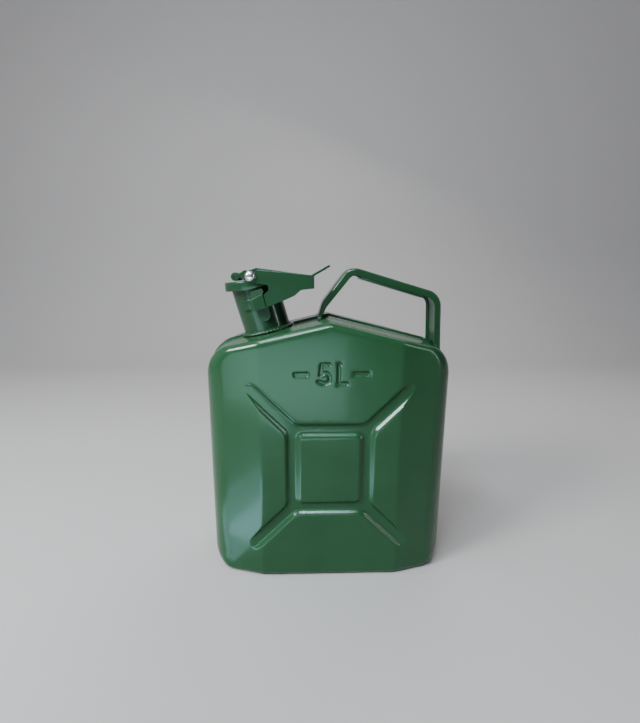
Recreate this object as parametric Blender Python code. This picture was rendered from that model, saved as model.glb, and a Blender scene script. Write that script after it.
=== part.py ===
"""Small steel jerry can with a lever-locked hinged lid.

Frame: +X runs from the neck towards the handle, +Y points away from the front panel, +Z is up.
The origin is on the floor, in the middle of the can.  Sizes are metres and angles are radians.
"""
import math

import bmesh
import bpy
from mathutils import Matrix, Vector

# Gap between two pieces that touch on the real can, and how far a cutter reaches past its work.
FIT_GAP = 0.0003
OVERRUN = 0.0020

# Body: two pressed half shells with a roof-shaped top.
BODY_HALF_WIDTH = 0.1200
BODY_HALF_DEPTH = 0.0590
BODY_WALL = 0.0010
ROOF_APEX = 0.2595
ROOF_SLOPE = math.radians(13.8)
SHOULDER_RADIUS = 0.0330
FOOT_RADIUS = 0.0220
CREASE_HALF_SPAN = 0.0662
WING_SLOPE = math.radians(15.0)
RIM_RADIUS = 0.0060
SIDE_RIM_RADIUS = 0.0190
SIDE_DRAFT = 0.0008
ARC_STEPS = 5
RIM_STEPS = 4

# Seam between the shells: an outward flange, with a weld bead along its edge.
FLANGE_HEIGHT = 0.0012
FLANGE_THICKNESS = 0.0011
FLANGE_STUB = 0.0001
BEAD_HEIGHT = 0.0008
BEAD_HALF_WIDTH = 0.0014
GROOVE_DEPTH = 0.0036
GROOVE_HALF_WIDTH = 0.0060
GROOVE_RAMP = 0.0040

# Pressed channel in each panel: a frame round a raised plate, with four arms to the corners.
CHANNEL_DEPTH = 0.0034
CHANNEL_WALL_RUN = 0.0026
FRAME_HALF_WIDTH = 0.0394
FRAME_BOTTOM = 0.0725
FRAME_TOP = 0.1607
FRAME_RADIUS = 0.0040
PLATE_MARGIN = 0.0064
PLATE_WALL_RUN = 0.0048
PLATE_RADIUS = 0.0060
ARM_WIDTH = 0.0086
ARM_LENGTH = 0.0600
ARM_ANGLE = math.radians(45.0)

# Filler neck, leaning away from the handle, with its mouth cut parallel to the lid.
NECK_RADIUS = 0.0233
NECK_WALL = 0.0012
NECK_LEAN = math.radians(16.0)
NECK_FOOT_INSET = 0.0582
NECK_TUCK = 0.0040
MOUTH_RISE = 0.0451
NECK_RING_WIDTH = 0.0032
NECK_RING_HEIGHT = 0.0030
MOUTH_RING_INNER = 0.0221
MOUTH_RING_OUTER = 0.0250
MOUTH_RING_HEIGHT = 0.0025
TURN_STEPS = 40

# Lid: a pressed dish whose skirt is deep at the lip and shallow at the hinge.
LID_TILT = math.radians(5.0)
LID_RADIUS = 0.0295
LID_SHEET = 0.0010
SKIRT_DEPTH = 0.0089
SKIRT_HINGE_DEPTH = 0.0026
SKIRT_RISE_START = 0.0056
GASKET_INNER = 0.0208
GASKET_OUTER = 0.0274
GASKET_THICKNESS = 0.0024

# Saddle on the lid: it carries the lever's axle and ends in a rolled thumb edge.
SADDLE_SHEET = 0.0014
SADDLE_HALF_DEPTH = 0.0299
SADDLE_HEIGHT = 0.0076
SADDLE_EAR_WALL = 0.0015
SADDLE_LEFT = 0.0111
SADDLE_RIGHT = 0.0088
SADDLE_FOOT_LEFT = 0.0067
SADDLE_FOOT_RIGHT = 0.0070
SADDLE_STEP = 0.0027
ROLL_RADIUS = 0.0041
ROLL_REACH = 0.0160
ROLL_DROP = 0.0028
ROLL_HALF_LENGTH = 0.0200

# Pivot of the lever on the saddle.
PIVOT_X = 0.0007
AXLE_RADIUS = 0.0020
AXLE_TAIL = 0.0018
CAP_RADIUS = 0.0050
CAP_HEIGHT = 0.0035
CAP_CROWN_SHARE = 0.86
CAP_SHOULDER_SHARE = 0.66
CAP_EDGE = 0.0014

# Lever: a channel over the lid, with a lip that hooks under each lug and a finger tab at its tail.
LEVER_SHEET = 0.0015
LEVER_TILT = math.radians(7.2)
LEVER_LENGTH = 0.0590
LEVER_RISE = 0.0084
LEVER_NOSE_RADIUS = 0.0072
LEVER_NOSE_START = math.radians(258)
LEVER_NOSE_END = math.radians(92)
LEVER_NECK_SHARE = 0.86
LEVER_TAIL_SHARE = 0.9
LEVER_BELLY_SHARE = 0.72
LEVER_TAIL_DEPTH = 0.0118
LEVER_TAIL_FLAT = 0.0120
LEVER_BELLY_DROP = 0.0172
LEVER_BELLY_RUN = 0.0240
LEVER_TOE_DROP = 0.0270
LEVER_TOE = 0.0184
WEB_START = 0.0050
TAB_LENGTH = 0.0208
TAB_HALF_WIDTH = 0.0140
TAB_ANGLE = math.radians(37.4)
TAB_TIP_RADIUS = 0.0080

# Latch: the lug's beak sits in a notch of the lever's cheek, over the lip.
BEAK_X = 0.0127
BEAK_DROP = 0.0039
LIP_BACK = 0.0012
LIP_DROP = 0.0035
NOTCH_REACH = 0.0034
NOTCH_RISE = 0.0012
NOTCH_ROOF = 0.0047

# Neck bracket: a band round the neck with two hinge ears, and a lug on each side.
BAND_THICKNESS = 0.0016
BAND_BOTTOM = 0.0252
BAND_TOP = 0.0352
BAND_HALF_ANGLE = math.radians(126.0)
LUG_THICKNESS = 0.0018
LUG_LEFT = 0.0040
LUG_RIGHT = 0.0084
LUG_BOTTOM = 0.0240
TONGUE_RADIUS = 0.0052
TONGUE_OFFSET = 0.0040
TONGUE_DROP = 0.0095
BEAK_LENGTH = 0.0148
BEAK_HEIGHT = 0.0076
BEAK_TIP_HEIGHT = 0.0023
BEAK_UNDERCUT = 0.0037
HINGE_OFFSET = 0.0309
HINGE_RISE = 0.0304
HINGE_PIN_RADIUS = 0.0022
HINGE_HEAD_RADIUS = 0.0034
HINGE_HEAD_HEIGHT = 0.0014
HINGE_EAR_RADIUS = 0.0040
HINGE_EAR_WALL = 0.0020
KNUCKLE_WALL = 0.0013
STRAP_HALF_WIDTH = 0.0120
STRAP_SHEET = 0.0015
STRAP_START = 0.0040

# Breather tube inside the neck.
VENT_RADIUS = 0.0040
VENT_WALL = 0.0008
VENT_BELOW_MOUTH = 0.0090
VENT_DROP = 0.0070
VENT_BEND = 0.0110
VENT_TAIL = 0.0140
VENT_TURN = math.radians(80.0)

# Carrying handle: a bent channel, open towards the can, with a liner under the grip.
HANDLE_HALF_DEPTH = 0.0152
HANDLE_THICKNESS = 0.0073
HANDLE_EDGE_RADIUS = 0.0028
HANDLE_WALL = 0.0014
HANDLE_LEFT_X = -0.0062
HANDLE_KNEE_RISE = 0.0110
HANDLE_LEG_ANGLE = math.radians(52.3)
HANDLE_TOP_X = 0.0215
HANDLE_GRIP_SLOPE = math.radians(16.2)
HANDLE_RIGHT_INSET = 0.0118
HANDLE_FOOT_INSET = 0.0088
HANDLE_KNEE_RADIUS = 0.0120
HANDLE_LEFT_RADIUS = 0.0110
HANDLE_RIGHT_RADIUS = 0.0140
TUNNEL_HALF_WIDTH = 0.0040
TUNNEL_CLEARANCE = 0.0012
LINER_THICKNESS = 0.0019
LINER_BEVEL = 0.0014
LINER_INSET = 0.0120
WELD_LEG = 0.0024

# Finishes: base colour, roughness, metallic.
FINISHES = {
    "green_paint": ((0.026, 0.088, 0.044), 0.22, 0.0),
    "zinc_plate": ((0.62, 0.62, 0.60), 0.28, 1.0),
    "black_rubber": ((0.012, 0.012, 0.012), 0.75, 0.0),
}


# Helpers for objects, materials and placing.

def clear_scene():
    """Remove whatever the opened file holds."""
    for item in list(bpy.data.objects):
        bpy.data.objects.remove(item, do_unlink=True)


def finish_material(node_name, finish):
    """Make one Principled material for a sub-part."""
    color, roughness, metallic = FINISHES[finish]
    made = bpy.data.materials.new(node_name + "_" + finish)
    made.use_nodes = True
    shader = made.node_tree.nodes["Principled BSDF"]
    shader.inputs["Base Color"].default_value = (*color, 1.0)
    shader.inputs["Roughness"].default_value = roughness
    shader.inputs["Metallic"].default_value = metallic
    return made


def new_object(name, bm, matrix=None, parent=None, finish="green_paint"):
    """Turn a bmesh into a placed object with its own material."""
    bmesh.ops.remove_doubles(bm, verts=bm.verts, dist=FIT_GAP / 100)
    bmesh.ops.recalc_face_normals(bm, faces=bm.faces)
    mesh = bpy.data.meshes.new(name)
    bm.to_mesh(mesh)
    bm.free()
    mesh.shade_smooth()
    mesh.set_sharp_from_angle(angle=math.radians(30.0))
    made = bpy.data.objects.new(name, mesh)
    bpy.context.scene.collection.objects.link(made)
    made.data.materials.append(finish_material(name, finish))
    if parent is not None:
        made.parent = parent
        made.matrix_parent_inverse = parent.matrix_basis.inverted()
    if matrix is not None:
        made.matrix_basis = matrix
    return made


def as_tool(item):
    """Mark an object as a cutter or a part of a union, which isn't a piece itself."""
    item.hide_render = True
    item.display_type = "WIRE"
    return item


def boolean(target, tool, operation):
    """Add an exact Boolean of target with tool."""
    modifier = target.modifiers.new(operation.lower() + "_" + tool.name, "BOOLEAN")
    modifier.operation = operation
    modifier.solver = "EXACT"
    modifier.object = as_tool(tool)


def axis_empty(name, location):
    """Make an empty on a joint's axis."""
    made = bpy.data.objects.new(name, None)
    made.location = location
    bpy.context.scene.collection.objects.link(made)
    return made


def frame_at(x, z, turn):
    """Matrix of a frame in the middle plane, turned clockwise as the front view shows it."""
    return Matrix.Translation((x, 0.0, z)) @ Matrix.Rotation(turn, 4, "Y")


# Helpers for shapes.

def skin(bm, loop, next_loop):
    """Join two loops of matching vertices by a band of faces."""
    pairs = list(zip(loop, next_loop))
    for (low, high), (next_low, next_high) in zip(pairs, pairs[1:] + pairs[:1]):
        bm.faces.new((low, next_low, next_high, high))


def loft(rings, closed=False):
    """Skin a row of rings; the row is capped at both ends, or closed on itself."""
    bm = bmesh.new()
    loops = [[bm.verts.new(point) for point in ring] for ring in rings]
    followers = loops[1:] + (loops[:1] if closed else [])
    for loop, next_loop in zip(loops, followers):
        skin(bm, loop, next_loop)
    if not closed:
        bm.faces.new(loops[0])
        bm.faces.new(loops[-1])
    return bm


def plate(points, y_low, y_high):
    """Extrude an outline in the XZ plane from y_low to y_high."""
    bm = bmesh.new()
    face = bm.faces.new([bm.verts.new((x, y_low, z)) for x, z in points])
    grown = bmesh.ops.extrude_face_region(bm, geom=[face])
    moved = [item for item in grown["geom"] if isinstance(item, bmesh.types.BMVert)]
    bmesh.ops.translate(bm, verts=moved, vec=(0.0, y_high - y_low, 0.0))
    return bm


def turned(profile, steps=TURN_STEPS, axis=(0.0, 0.0, 1.0)):
    """Spin a closed profile of (radius, height) points about the local Z axis."""
    bm = bmesh.new()
    verts = [bm.verts.new((radius, 0.0, height)) for radius, height in profile]
    edges = [bm.edges.new(pair) for pair in zip(verts, verts[1:] + verts[:1])]
    bmesh.ops.spin(bm, geom=list(bm.verts) + edges, cent=(0.0, 0.0, 0.0), axis=axis,
                   angle=math.tau, steps=steps, use_merge=True)
    return bm


def arc(center_x, center_z, radius, start, end, steps):
    """Points of an arc, first angle to last, both included."""
    turns = [start + (end - start) * step / steps for step in range(steps + 1)]
    return [(center_x + radius * math.cos(turn), center_z + radius * math.sin(turn)) for turn in turns]


def rounded_rectangle(half_width, bottom, top, radius, steps=3):
    """Outline of an upright rectangle with rounded corners, centred on X."""
    inner_x = half_width - radius
    corners = ((inner_x, bottom + radius, -90), (inner_x, top - radius, 0),
               (-inner_x, top - radius, 90), (-inner_x, bottom + radius, 180))
    points = []
    for x, z, first in corners:
        points += arc(x, z, radius, math.radians(first), math.radians(first + 90), steps)
    return points


def box_outline(left, right, bottom, top):
    """Corners of an upright rectangle."""
    return [(left, bottom), (right, bottom), (right, top), (left, top)]


def filleted_path(corners, radii, steps=5):
    """A polyline in the XZ plane whose inner corners are rounded."""
    points = [Vector(corners[0])]
    for before, corner, after, radius in zip(corners, corners[1:], corners[2:], radii):
        back = (Vector(before) - Vector(corner)).normalized()
        ahead = (Vector(after) - Vector(corner)).normalized()
        half = back.angle(ahead) / 2
        center = Vector(corner) + (back + ahead).normalized() * (radius / math.sin(half))
        start = (Vector(corner) + back * (radius / math.tan(half)) - center).normalized()
        end = (Vector(corner) + ahead * (radius / math.tan(half)) - center).normalized()
        for step in range(steps + 1):
            points.append(center + start.slerp(end, step / steps) * radius)
    return points + [Vector(corners[-1])]


def sweep_rings(path, section):
    """Rings of a section carried along a path in the XZ plane."""
    rings = []
    for index, point in enumerate(path):
        before = path[max(index - 1, 0)]
        after = path[min(index + 1, len(path) - 1)]
        along = (after - before).normalized()
        side = Vector((-along.y, along.x))
        ring = []
        for across, depth in section:
            spot = point + side * across
            ring.append((spot.x, depth, spot.y))
        rings.append(ring)
    return rings


def circle_section(radius, steps=10):
    """Points of a round section."""
    return arc(0.0, 0.0, radius, 0.0, math.tau * (steps - 1) / steps, steps - 1)


def tube_loft(path, outer, inner):
    """A hollow sweep: outer skin out, inner skin back, open at both ends."""
    return loft(sweep_rings(path, outer) + sweep_rings(path, inner)[::-1], closed=True)


# Body.

def front_y(x):
    """Depth of the front panel's surface, which slopes back outside the creases."""
    return -(BODY_HALF_DEPTH - max(abs(x) - CREASE_HALF_SPAN, 0.0) * math.tan(WING_SLOPE))


def roof_z(x):
    """Height of the roof between the shoulders."""
    return ROOF_APEX - abs(x) * math.tan(ROOF_SLOPE)


def outline_points():
    """Seam outline, counter-clockwise from the lower left crease.

    Each entry is (x, z, move_x, move_z, sideways, low): the point, where it goes per unit of
    inset, how much of its normal is sideways, and 1 where it belongs to the floor.
    """
    foot_x = BODY_HALF_WIDTH - FOOT_RADIUS
    shoulder_x = BODY_HALF_WIDTH - SHOULDER_RADIUS
    shoulder_z = ROOF_APEX - (SHOULDER_RADIUS + shoulder_x * math.sin(ROOF_SLOPE)) / math.cos(ROOF_SLOPE)
    roof_turn = math.pi / 2 - ROOF_SLOPE
    right = []
    for x, z, radius, start, end, low in ((foot_x, FOOT_RADIUS, FOOT_RADIUS, -math.pi / 2, 0.0, 1),
                                          (shoulder_x, shoulder_z, SHOULDER_RADIUS, 0.0, roof_turn, 0)):
        for step in range(ARC_STEPS + 1):
            turn = start + (end - start) * step / ARC_STEPS
            out_x, out_z = math.cos(turn), math.sin(turn)
            right.append((x + radius * out_x, z + radius * out_z, -out_x, -out_z, out_x * out_x, low))
    drop = -1 / math.cos(ROOF_SLOPE)
    lean = math.sin(ROOF_SLOPE) ** 2
    crease = [(CREASE_HALF_SPAN, roof_z(CREASE_HALF_SPAN), 0.0, drop, lean, 0)]
    floor = [(CREASE_HALF_SPAN, 0.0, 0.0, 1.0, 0.0, 1)]
    half = floor + right + crease
    mirrored = [(-x, z, -move_x, move_z, sideways, low)
                for x, z, move_x, move_z, sideways, low in half[::-1]]
    return half + [(0.0, ROOF_APEX, 0.0, drop, lean, 0)] + mirrored


def body_ring(side, inset, lift, depth):
    """One ring round the body: inset from the seam outline, at a depth from the seam."""
    return [(x + move_x * inset, side * depth, z + move_z * inset + low * lift)
            for x, z, move_x, move_z, sideways, low in outline_points()]


def rim_ring(side, inset, wall, share):
    """One ring of the rounded rim, from the side wall (share 0) to the panel (share 1)."""
    turn = share * math.pi / 2
    ring = []
    for x, z, move_x, move_z, sideways, low in outline_points():
        radius = RIM_RADIUS + (SIDE_RIM_RADIUS - RIM_RADIUS) * sideways - wall
        inward = inset + radius * (1 - math.cos(turn))
        spot_x = x + move_x * inward
        depth = -front_y(spot_x) - wall - radius * (1 - math.sin(turn))
        ring.append((spot_x, side * depth, z + move_z * inward - low * SIDE_DRAFT))
    return ring


def pan(name, side, wall, seam_rings):
    """A closed pan shape: seam rings, side wall, rounded rim and the creased panel."""
    inset = wall + SIDE_DRAFT
    ramp = math.atan2(GROOVE_DEPTH, GROOVE_RAMP)
    groove = GROOVE_HALF_WIDTH + wall * math.tan(ramp / 2)
    rings = seam_rings + [body_ring(side, wall, GROOVE_DEPTH, groove),
                          body_ring(side, inset, -SIDE_DRAFT, groove + GROOVE_RAMP)]
    for step in range(RIM_STEPS + 1):
        rings.append(rim_ring(side, inset, wall, step / RIM_STEPS))
    bm = bmesh.new()
    loops = [[bm.verts.new(point) for point in ring] for ring in rings]
    for loop, next_loop in zip(loops, loops[1:]):
        skin(bm, loop, next_loop)
    bm.faces.new(loops[0])
    panel = loops[-1]
    half = (len(panel) - 1) // 2
    bm.faces.new(panel[:half])
    bm.faces.new([panel[0]] + panel[half - 1:half + 2] + [panel[-1]])
    bm.faces.new(panel[half + 1:])
    return new_object(name, bm)


def channel_levels(grow):
    """Depths of a channel cutter's ends: its floor, and just outside the panel."""
    return BODY_HALF_DEPTH - CHANNEL_DEPTH - grow, BODY_HALF_DEPTH + OVERRUN


def wall_offset(run, depth, grow):
    """Sideways place of a pressed wall at a depth, moved out by grow along its normal."""
    slope = run / CHANNEL_DEPTH
    return slope * (depth - BODY_HALF_DEPTH + CHANNEL_DEPTH) + grow * math.hypot(slope, 1)


def frame_outline(depth, grow):
    """Outer outline of the channel's frame at a depth."""
    spread = wall_offset(CHANNEL_WALL_RUN, depth, grow)
    return rounded_rectangle(FRAME_HALF_WIDTH + spread, FRAME_BOTTOM - spread, FRAME_TOP + spread,
                             FRAME_RADIUS + max(spread, 0.0))


def plate_outline(depth, grow):
    """Outline of the raised plate at a depth."""
    margin = PLATE_MARGIN + wall_offset(PLATE_WALL_RUN, depth, grow)
    return rounded_rectangle(FRAME_HALF_WIDTH - margin, FRAME_BOTTOM + margin, FRAME_TOP - margin,
                             PLATE_RADIUS)


def arm_outline(depth, grow, right, up):
    """Outline of one arm at a depth; right and up are 1 or -1."""
    half = ARM_WIDTH / 2 + wall_offset(CHANNEL_WALL_RUN, depth, grow)
    edge = FRAME_TOP if up > 0 else FRAME_BOTTOM
    start = Vector((right * (FRAME_HALF_WIDTH - PLATE_MARGIN / 2), edge - up * PLATE_MARGIN / 2))
    along = Vector((right * math.cos(ARM_ANGLE), up * math.sin(ARM_ANGLE)))
    across = Vector((-along.y, along.x)) * half
    end = start + along * ARM_LENGTH
    return [start - across, end - across, end + across, start + across]


def tapered(name, side, outline, depths):
    """Loft an outline, which changes with depth, between two depths."""
    return new_object(name, loft([[(x, side * depth, z) for x, z in outline(depth)] for depth in depths]))


def channel_tool(name, side, grow):
    """Cutter for the pressed channel; grow makes the larger one for the inner face."""
    low, high = channel_levels(grow)
    tool = tapered(name, side, lambda depth: frame_outline(depth, grow), (low, high))
    for number, (right, up) in enumerate(((1, 1), (-1, 1), (-1, -1), (1, -1))):
        arm = tapered(f"{name}_arm_{number}", side,
                      lambda depth: arm_outline(depth, grow, right, up), (low, high))
        boolean(tool, arm, "UNION")
    plug_levels = (low - OVERRUN / 4, high - OVERRUN / 2)
    plug = tapered(name + "_plate", side, lambda depth: plate_outline(depth, grow), plug_levels)
    boolean(tool, plug, "DIFFERENCE")
    return tool


def shell_shape(name, side, matrix_cut):
    """One half shell: the outer pan less its cavity, with the channel pressed in."""
    half_gap = FIT_GAP / 2
    seam = [body_ring(side, -FLANGE_HEIGHT, GROOVE_DEPTH, half_gap),
            body_ring(side, -FLANGE_HEIGHT, GROOVE_DEPTH, FLANGE_THICKNESS),
            body_ring(side, 0.0, GROOVE_DEPTH, FLANGE_THICKNESS)]
    shell = pan(name, side, 0.0, seam)
    boolean(shell, channel_tool(name + "_channel", side, 0.0), "DIFFERENCE")
    cavity = pan(name + "_cavity", side, BODY_WALL, [body_ring(side, BODY_WALL, GROOVE_DEPTH, -OVERRUN)])
    boolean(cavity, channel_tool(name + "_cavity_channel", side, BODY_WALL), "DIFFERENCE")
    boolean(shell, cavity, "DIFFERENCE")
    for tool in matrix_cut:
        boolean(shell, tool, "DIFFERENCE")
    return shell


def outline_prism(name, outset, half_depth):
    """Solid inside the seam outline, moved out by an amount, across the middle plane."""
    rings = [body_ring(1, -outset, 0.0, depth) for depth in (-half_depth, half_depth)]
    return new_object(name, loft(rings))


def seam_weld(cuts):
    """Weld bead along the flanges' edge."""
    low = FLANGE_HEIGHT + FIT_GAP
    section = ((-BEAD_HALF_WIDTH, low), (-BEAD_HALF_WIDTH, low + BEAD_HEIGHT / 2),
               (-BEAD_HALF_WIDTH / 2, low + BEAD_HEIGHT), (BEAD_HALF_WIDTH / 2, low + BEAD_HEIGHT),
               (BEAD_HALF_WIDTH, low + BEAD_HEIGHT / 2), (BEAD_HALF_WIDTH, low))
    rings = [body_ring(1, -out, GROOVE_DEPTH, y) for y, out in section]
    bead = new_object("seam_weld", loft(rings, closed=True))
    for tool in cuts:
        boolean(bead, tool, "DIFFERENCE")


# Frames that the neck, the lid and the lever are built in.

def neck_foot_x():
    """Where the neck's axis meets the roof."""
    return NECK_FOOT_INSET - BODY_HALF_WIDTH


def neck_frame():
    """Frame on the neck's axis where it meets the roof."""
    return frame_at(neck_foot_x(), roof_z(neck_foot_x()), -NECK_LEAN)


def mouth_frame():
    """Frame in the middle of the neck's cut mouth, tilted as the lid is."""
    center = neck_frame() @ Vector((0.0, 0.0, MOUTH_RISE))
    return frame_at(center.x, center.z, -LID_TILT)


def lid_top():
    """Height of the lid's top face over the mouth."""
    return 3 * FIT_GAP + MOUTH_RING_HEIGHT + GASKET_THICKNESS + LID_SHEET


def pivot_height():
    """Height of the lever's pivot over the mouth."""
    return lid_top() + SADDLE_HEIGHT - SADDLE_SHEET - AXLE_RADIUS - FIT_GAP


def lever_frame():
    """Frame on the lever's pivot, along the lever's web."""
    pivot = mouth_frame() @ Vector((PIVOT_X, 0.0, pivot_height()))
    return frame_at(pivot.x, pivot.z, LEVER_TILT)


def hinge_frame():
    """Frame on the lid's hinge axis."""
    pin = neck_frame() @ Vector((HINGE_OFFSET, 0.0, HINGE_RISE))
    return frame_at(pin.x, pin.z, -LID_TILT)


def to_frame(matrix, other, x, z):
    """Take a point of one frame's middle plane into another's."""
    point = matrix.inverted() @ other @ Vector((x, 0.0, z))
    return point.x, point.z


def beak_tip():
    """Tip of the lug's beak, in the mouth frame."""
    return BEAK_X, -BEAK_DROP


def rod(name, matrix, radius, y_low, y_high, x=0.0, z=0.0, parent=None, finish="green_paint", steps=24):
    """A round bar along Y."""
    points = arc(x, z, radius, 0.0, math.tau * (steps - 1) / steps, steps - 1)
    return new_object(name, plate(points, y_low, y_high), matrix, parent, finish)


def disc(radius, steps=TURN_STEPS):
    """Outline of a round face."""
    return arc(0.0, 0.0, radius, 0.0, math.tau * (steps - 1) / steps, steps - 1)


def post(name, matrix, radius, low, high):
    """A round cutter along a frame's Z axis."""
    return new_object(name, loft([[(x, y, z) for x, y in disc(radius)] for z in (low, high)]), matrix)


# Neck.

def neck_tube():
    """Tube of the filler neck, cut off square below and along the mouth above."""
    top = MOUTH_RISE + NECK_RADIUS
    bore = NECK_RADIUS - NECK_WALL
    profile = [(NECK_RADIUS, top), (NECK_RADIUS, -NECK_TUCK), (bore, -NECK_TUCK), (bore, top)]
    tube = new_object("neck_tube", turned(profile), neck_frame())
    boolean(tube, post("mouth_cut", mouth_frame(), 2 * NECK_RADIUS, 0.0, top), "DIFFERENCE")


def neck_weld_ring(bore_cut):
    """Weld fillet between the neck and the roof."""
    matrix = frame_at(neck_foot_x(), roof_z(neck_foot_x()), -ROOF_SLOPE)
    outer = NECK_RADIUS + FIT_GAP + NECK_RING_WIDTH
    low = FIT_GAP + FLANGE_STUB
    crest = NECK_RADIUS + NECK_RING_WIDTH / 3
    profile = [(NECK_RADIUS - NECK_WALL, low + NECK_RING_HEIGHT), (crest, low + NECK_RING_HEIGHT),
               (outer, low + NECK_RING_HEIGHT / 4), (outer, low), (NECK_RADIUS - NECK_WALL, low)]
    ring = new_object("neck_weld_ring", turned(profile), matrix)
    boolean(ring, bore_cut, "DIFFERENCE")
    return post("flange_cut", matrix, outer + FIT_GAP, FLANGE_STUB, NECK_RING_HEIGHT + MOUTH_RISE / 2)


def mouth_ring():
    """Seat that the gasket closes on."""
    edge = MOUTH_RING_HEIGHT / 4
    profile = [(MOUTH_RING_OUTER, FIT_GAP + MOUTH_RING_HEIGHT - edge), (MOUTH_RING_OUTER, FIT_GAP),
               (MOUTH_RING_INNER, FIT_GAP), (MOUTH_RING_INNER, FIT_GAP + MOUTH_RING_HEIGHT),
               (MOUTH_RING_OUTER - edge, FIT_GAP + MOUTH_RING_HEIGHT)]
    new_object("mouth_ring", turned(profile), mouth_frame())


def vent_tube():
    """Breather tube: down inside the neck, then bent to lie under the roof."""
    side = NECK_RADIUS - NECK_WALL - FIT_GAP - VENT_RADIUS
    top = MOUTH_RISE - VENT_BELOW_MOUTH
    bend_x = side + VENT_BEND
    turn_z = -NECK_TUCK - VENT_DROP
    path = [Vector((side, top)), Vector((side, turn_z / 2))]
    path += [Vector(point) for point in arc(bend_x, turn_z, VENT_BEND, math.pi, math.pi + VENT_TURN, 5)]
    along = (path[-1] - path[-2]).normalized()
    path.append(path[-1] + along * VENT_TAIL)
    tube = tube_loft(path, circle_section(VENT_RADIUS), circle_section(VENT_RADIUS - VENT_WALL))
    new_object("vent_tube", tube, neck_frame())


def neck_bracket(neck_cut):
    """Band round the neck, open at the lip side, with two ears for the hinge pin."""
    matrix = neck_frame()
    outer = NECK_RADIUS + FIT_GAP + BAND_THICKNESS
    fan = [(0.0, 0.0)] + arc(0.0, 0.0, outer, -BAND_HALF_ANGLE, BAND_HALF_ANGLE, 28)
    rings = [[(x, y, z) for x, y in fan] for z in (BAND_BOTTOM, BAND_TOP)]
    band = new_object("neck_bracket", loft(rings), matrix)
    ear = [(NECK_RADIUS / 2, HINGE_RISE - HINGE_EAR_RADIUS)]
    ear += arc(HINGE_OFFSET, HINGE_RISE, HINGE_EAR_RADIUS, -math.pi / 2, math.pi / 2, 8)
    ear.append((NECK_RADIUS / 2, HINGE_RISE + HINGE_EAR_RADIUS))
    for name, side in (("front", -1), ("rear", 1)):
        inner = side * (STRAP_HALF_WIDTH + FIT_GAP)
        outer_y = inner + side * HINGE_EAR_WALL
        boolean(band, new_object("ear_" + name, plate(ear, inner, outer_y), matrix), "UNION")
    boolean(band, neck_cut, "DIFFERENCE")
    span = STRAP_HALF_WIDTH + HINGE_EAR_WALL + OVERRUN
    bore = rod("ear_bore", matrix, HINGE_PIN_RADIUS + FIT_GAP, -span, span, HINGE_OFFSET, HINGE_RISE)
    boolean(band, bore, "DIFFERENCE")


def hinge_pin():
    """Riveted pin through the bracket's ears and the lid's knuckle."""
    matrix = hinge_frame()
    head = STRAP_HALF_WIDTH + HINGE_EAR_WALL + 2 * FIT_GAP
    pin = rod("hinge_pin", matrix, HINGE_PIN_RADIUS, -head, head)
    for name, side in (("front", -1), ("rear", 1)):
        tip = side * (head + HINGE_HEAD_HEIGHT)
        cap = rod("pin_head_" + name, matrix, HINGE_HEAD_RADIUS, side * head, tip)
        boolean(pin, cap, "UNION")


def latch_lug(name, side, neck_cut):
    """Plate welded on the band, bent out into a beak in the plane of the lever's cheek."""
    matrix = neck_frame()
    face = NECK_RADIUS + BAND_THICKNESS + 2 * FIT_GAP
    seat = new_object(name + "_seat", loft([[(x, y, z) for x, y in disc(face)] for z in
                      (BAND_BOTTOM - FIT_GAP, BAND_TOP + BEAK_HEIGHT + OVERRUN)]), matrix)
    tip_x, tip_z = to_frame(matrix, mouth_frame(), *beak_tip())
    neck_z = tip_z - BEAK_UNDERCUT - FIT_GAP
    lower = box_outline(-LUG_LEFT, LUG_RIGHT, LUG_BOTTOM, tip_z - BEAK_UNDERCUT / 2)
    lug = new_object(name, plate(lower, side * face / 2, side * (face + LUG_THICKNESS)), matrix)
    back_x = tip_x - BEAK_LENGTH
    under_x = tip_x - BEAK_UNDERCUT
    beak = [(back_x, tip_z + BEAK_TIP_HEIGHT - LUG_THICKNESS / 2), (back_x, tip_z - BEAK_HEIGHT / 2),
            (under_x - LUG_RIGHT + BEAK_UNDERCUT / 2, tip_z - BEAK_HEIGHT + BEAK_TIP_HEIGHT),
            (under_x, neck_z), (tip_x, tip_z), (tip_x, tip_z + BEAK_TIP_HEIGHT)]
    reach = SADDLE_HALF_DEPTH + FIT_GAP + LEVER_SHEET
    tab = new_object(name + "_beak", plate(beak, side * (face + LUG_THICKNESS / 2), side * reach), matrix)
    boolean(lug, tab, "UNION")
    boolean(lug, seat, "DIFFERENCE")
    end_z = LUG_BOTTOM - TONGUE_DROP + TONGUE_RADIUS
    tongue = arc(TONGUE_OFFSET, end_z, TONGUE_RADIUS, math.pi, math.tau, 10)
    tongue += [(TONGUE_OFFSET + TONGUE_RADIUS, BAND_BOTTOM - FIT_GAP),
               (TONGUE_OFFSET - TONGUE_RADIUS, BAND_BOTTOM - FIT_GAP)]
    skin_y = NECK_RADIUS + FIT_GAP + LUG_THICKNESS
    tail = new_object(name + "_tongue", plate(tongue, side * skin_y / 2, side * skin_y), matrix)
    boolean(lug, tail, "UNION")
    boolean(lug, neck_cut, "DIFFERENCE")


# Lid.

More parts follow.
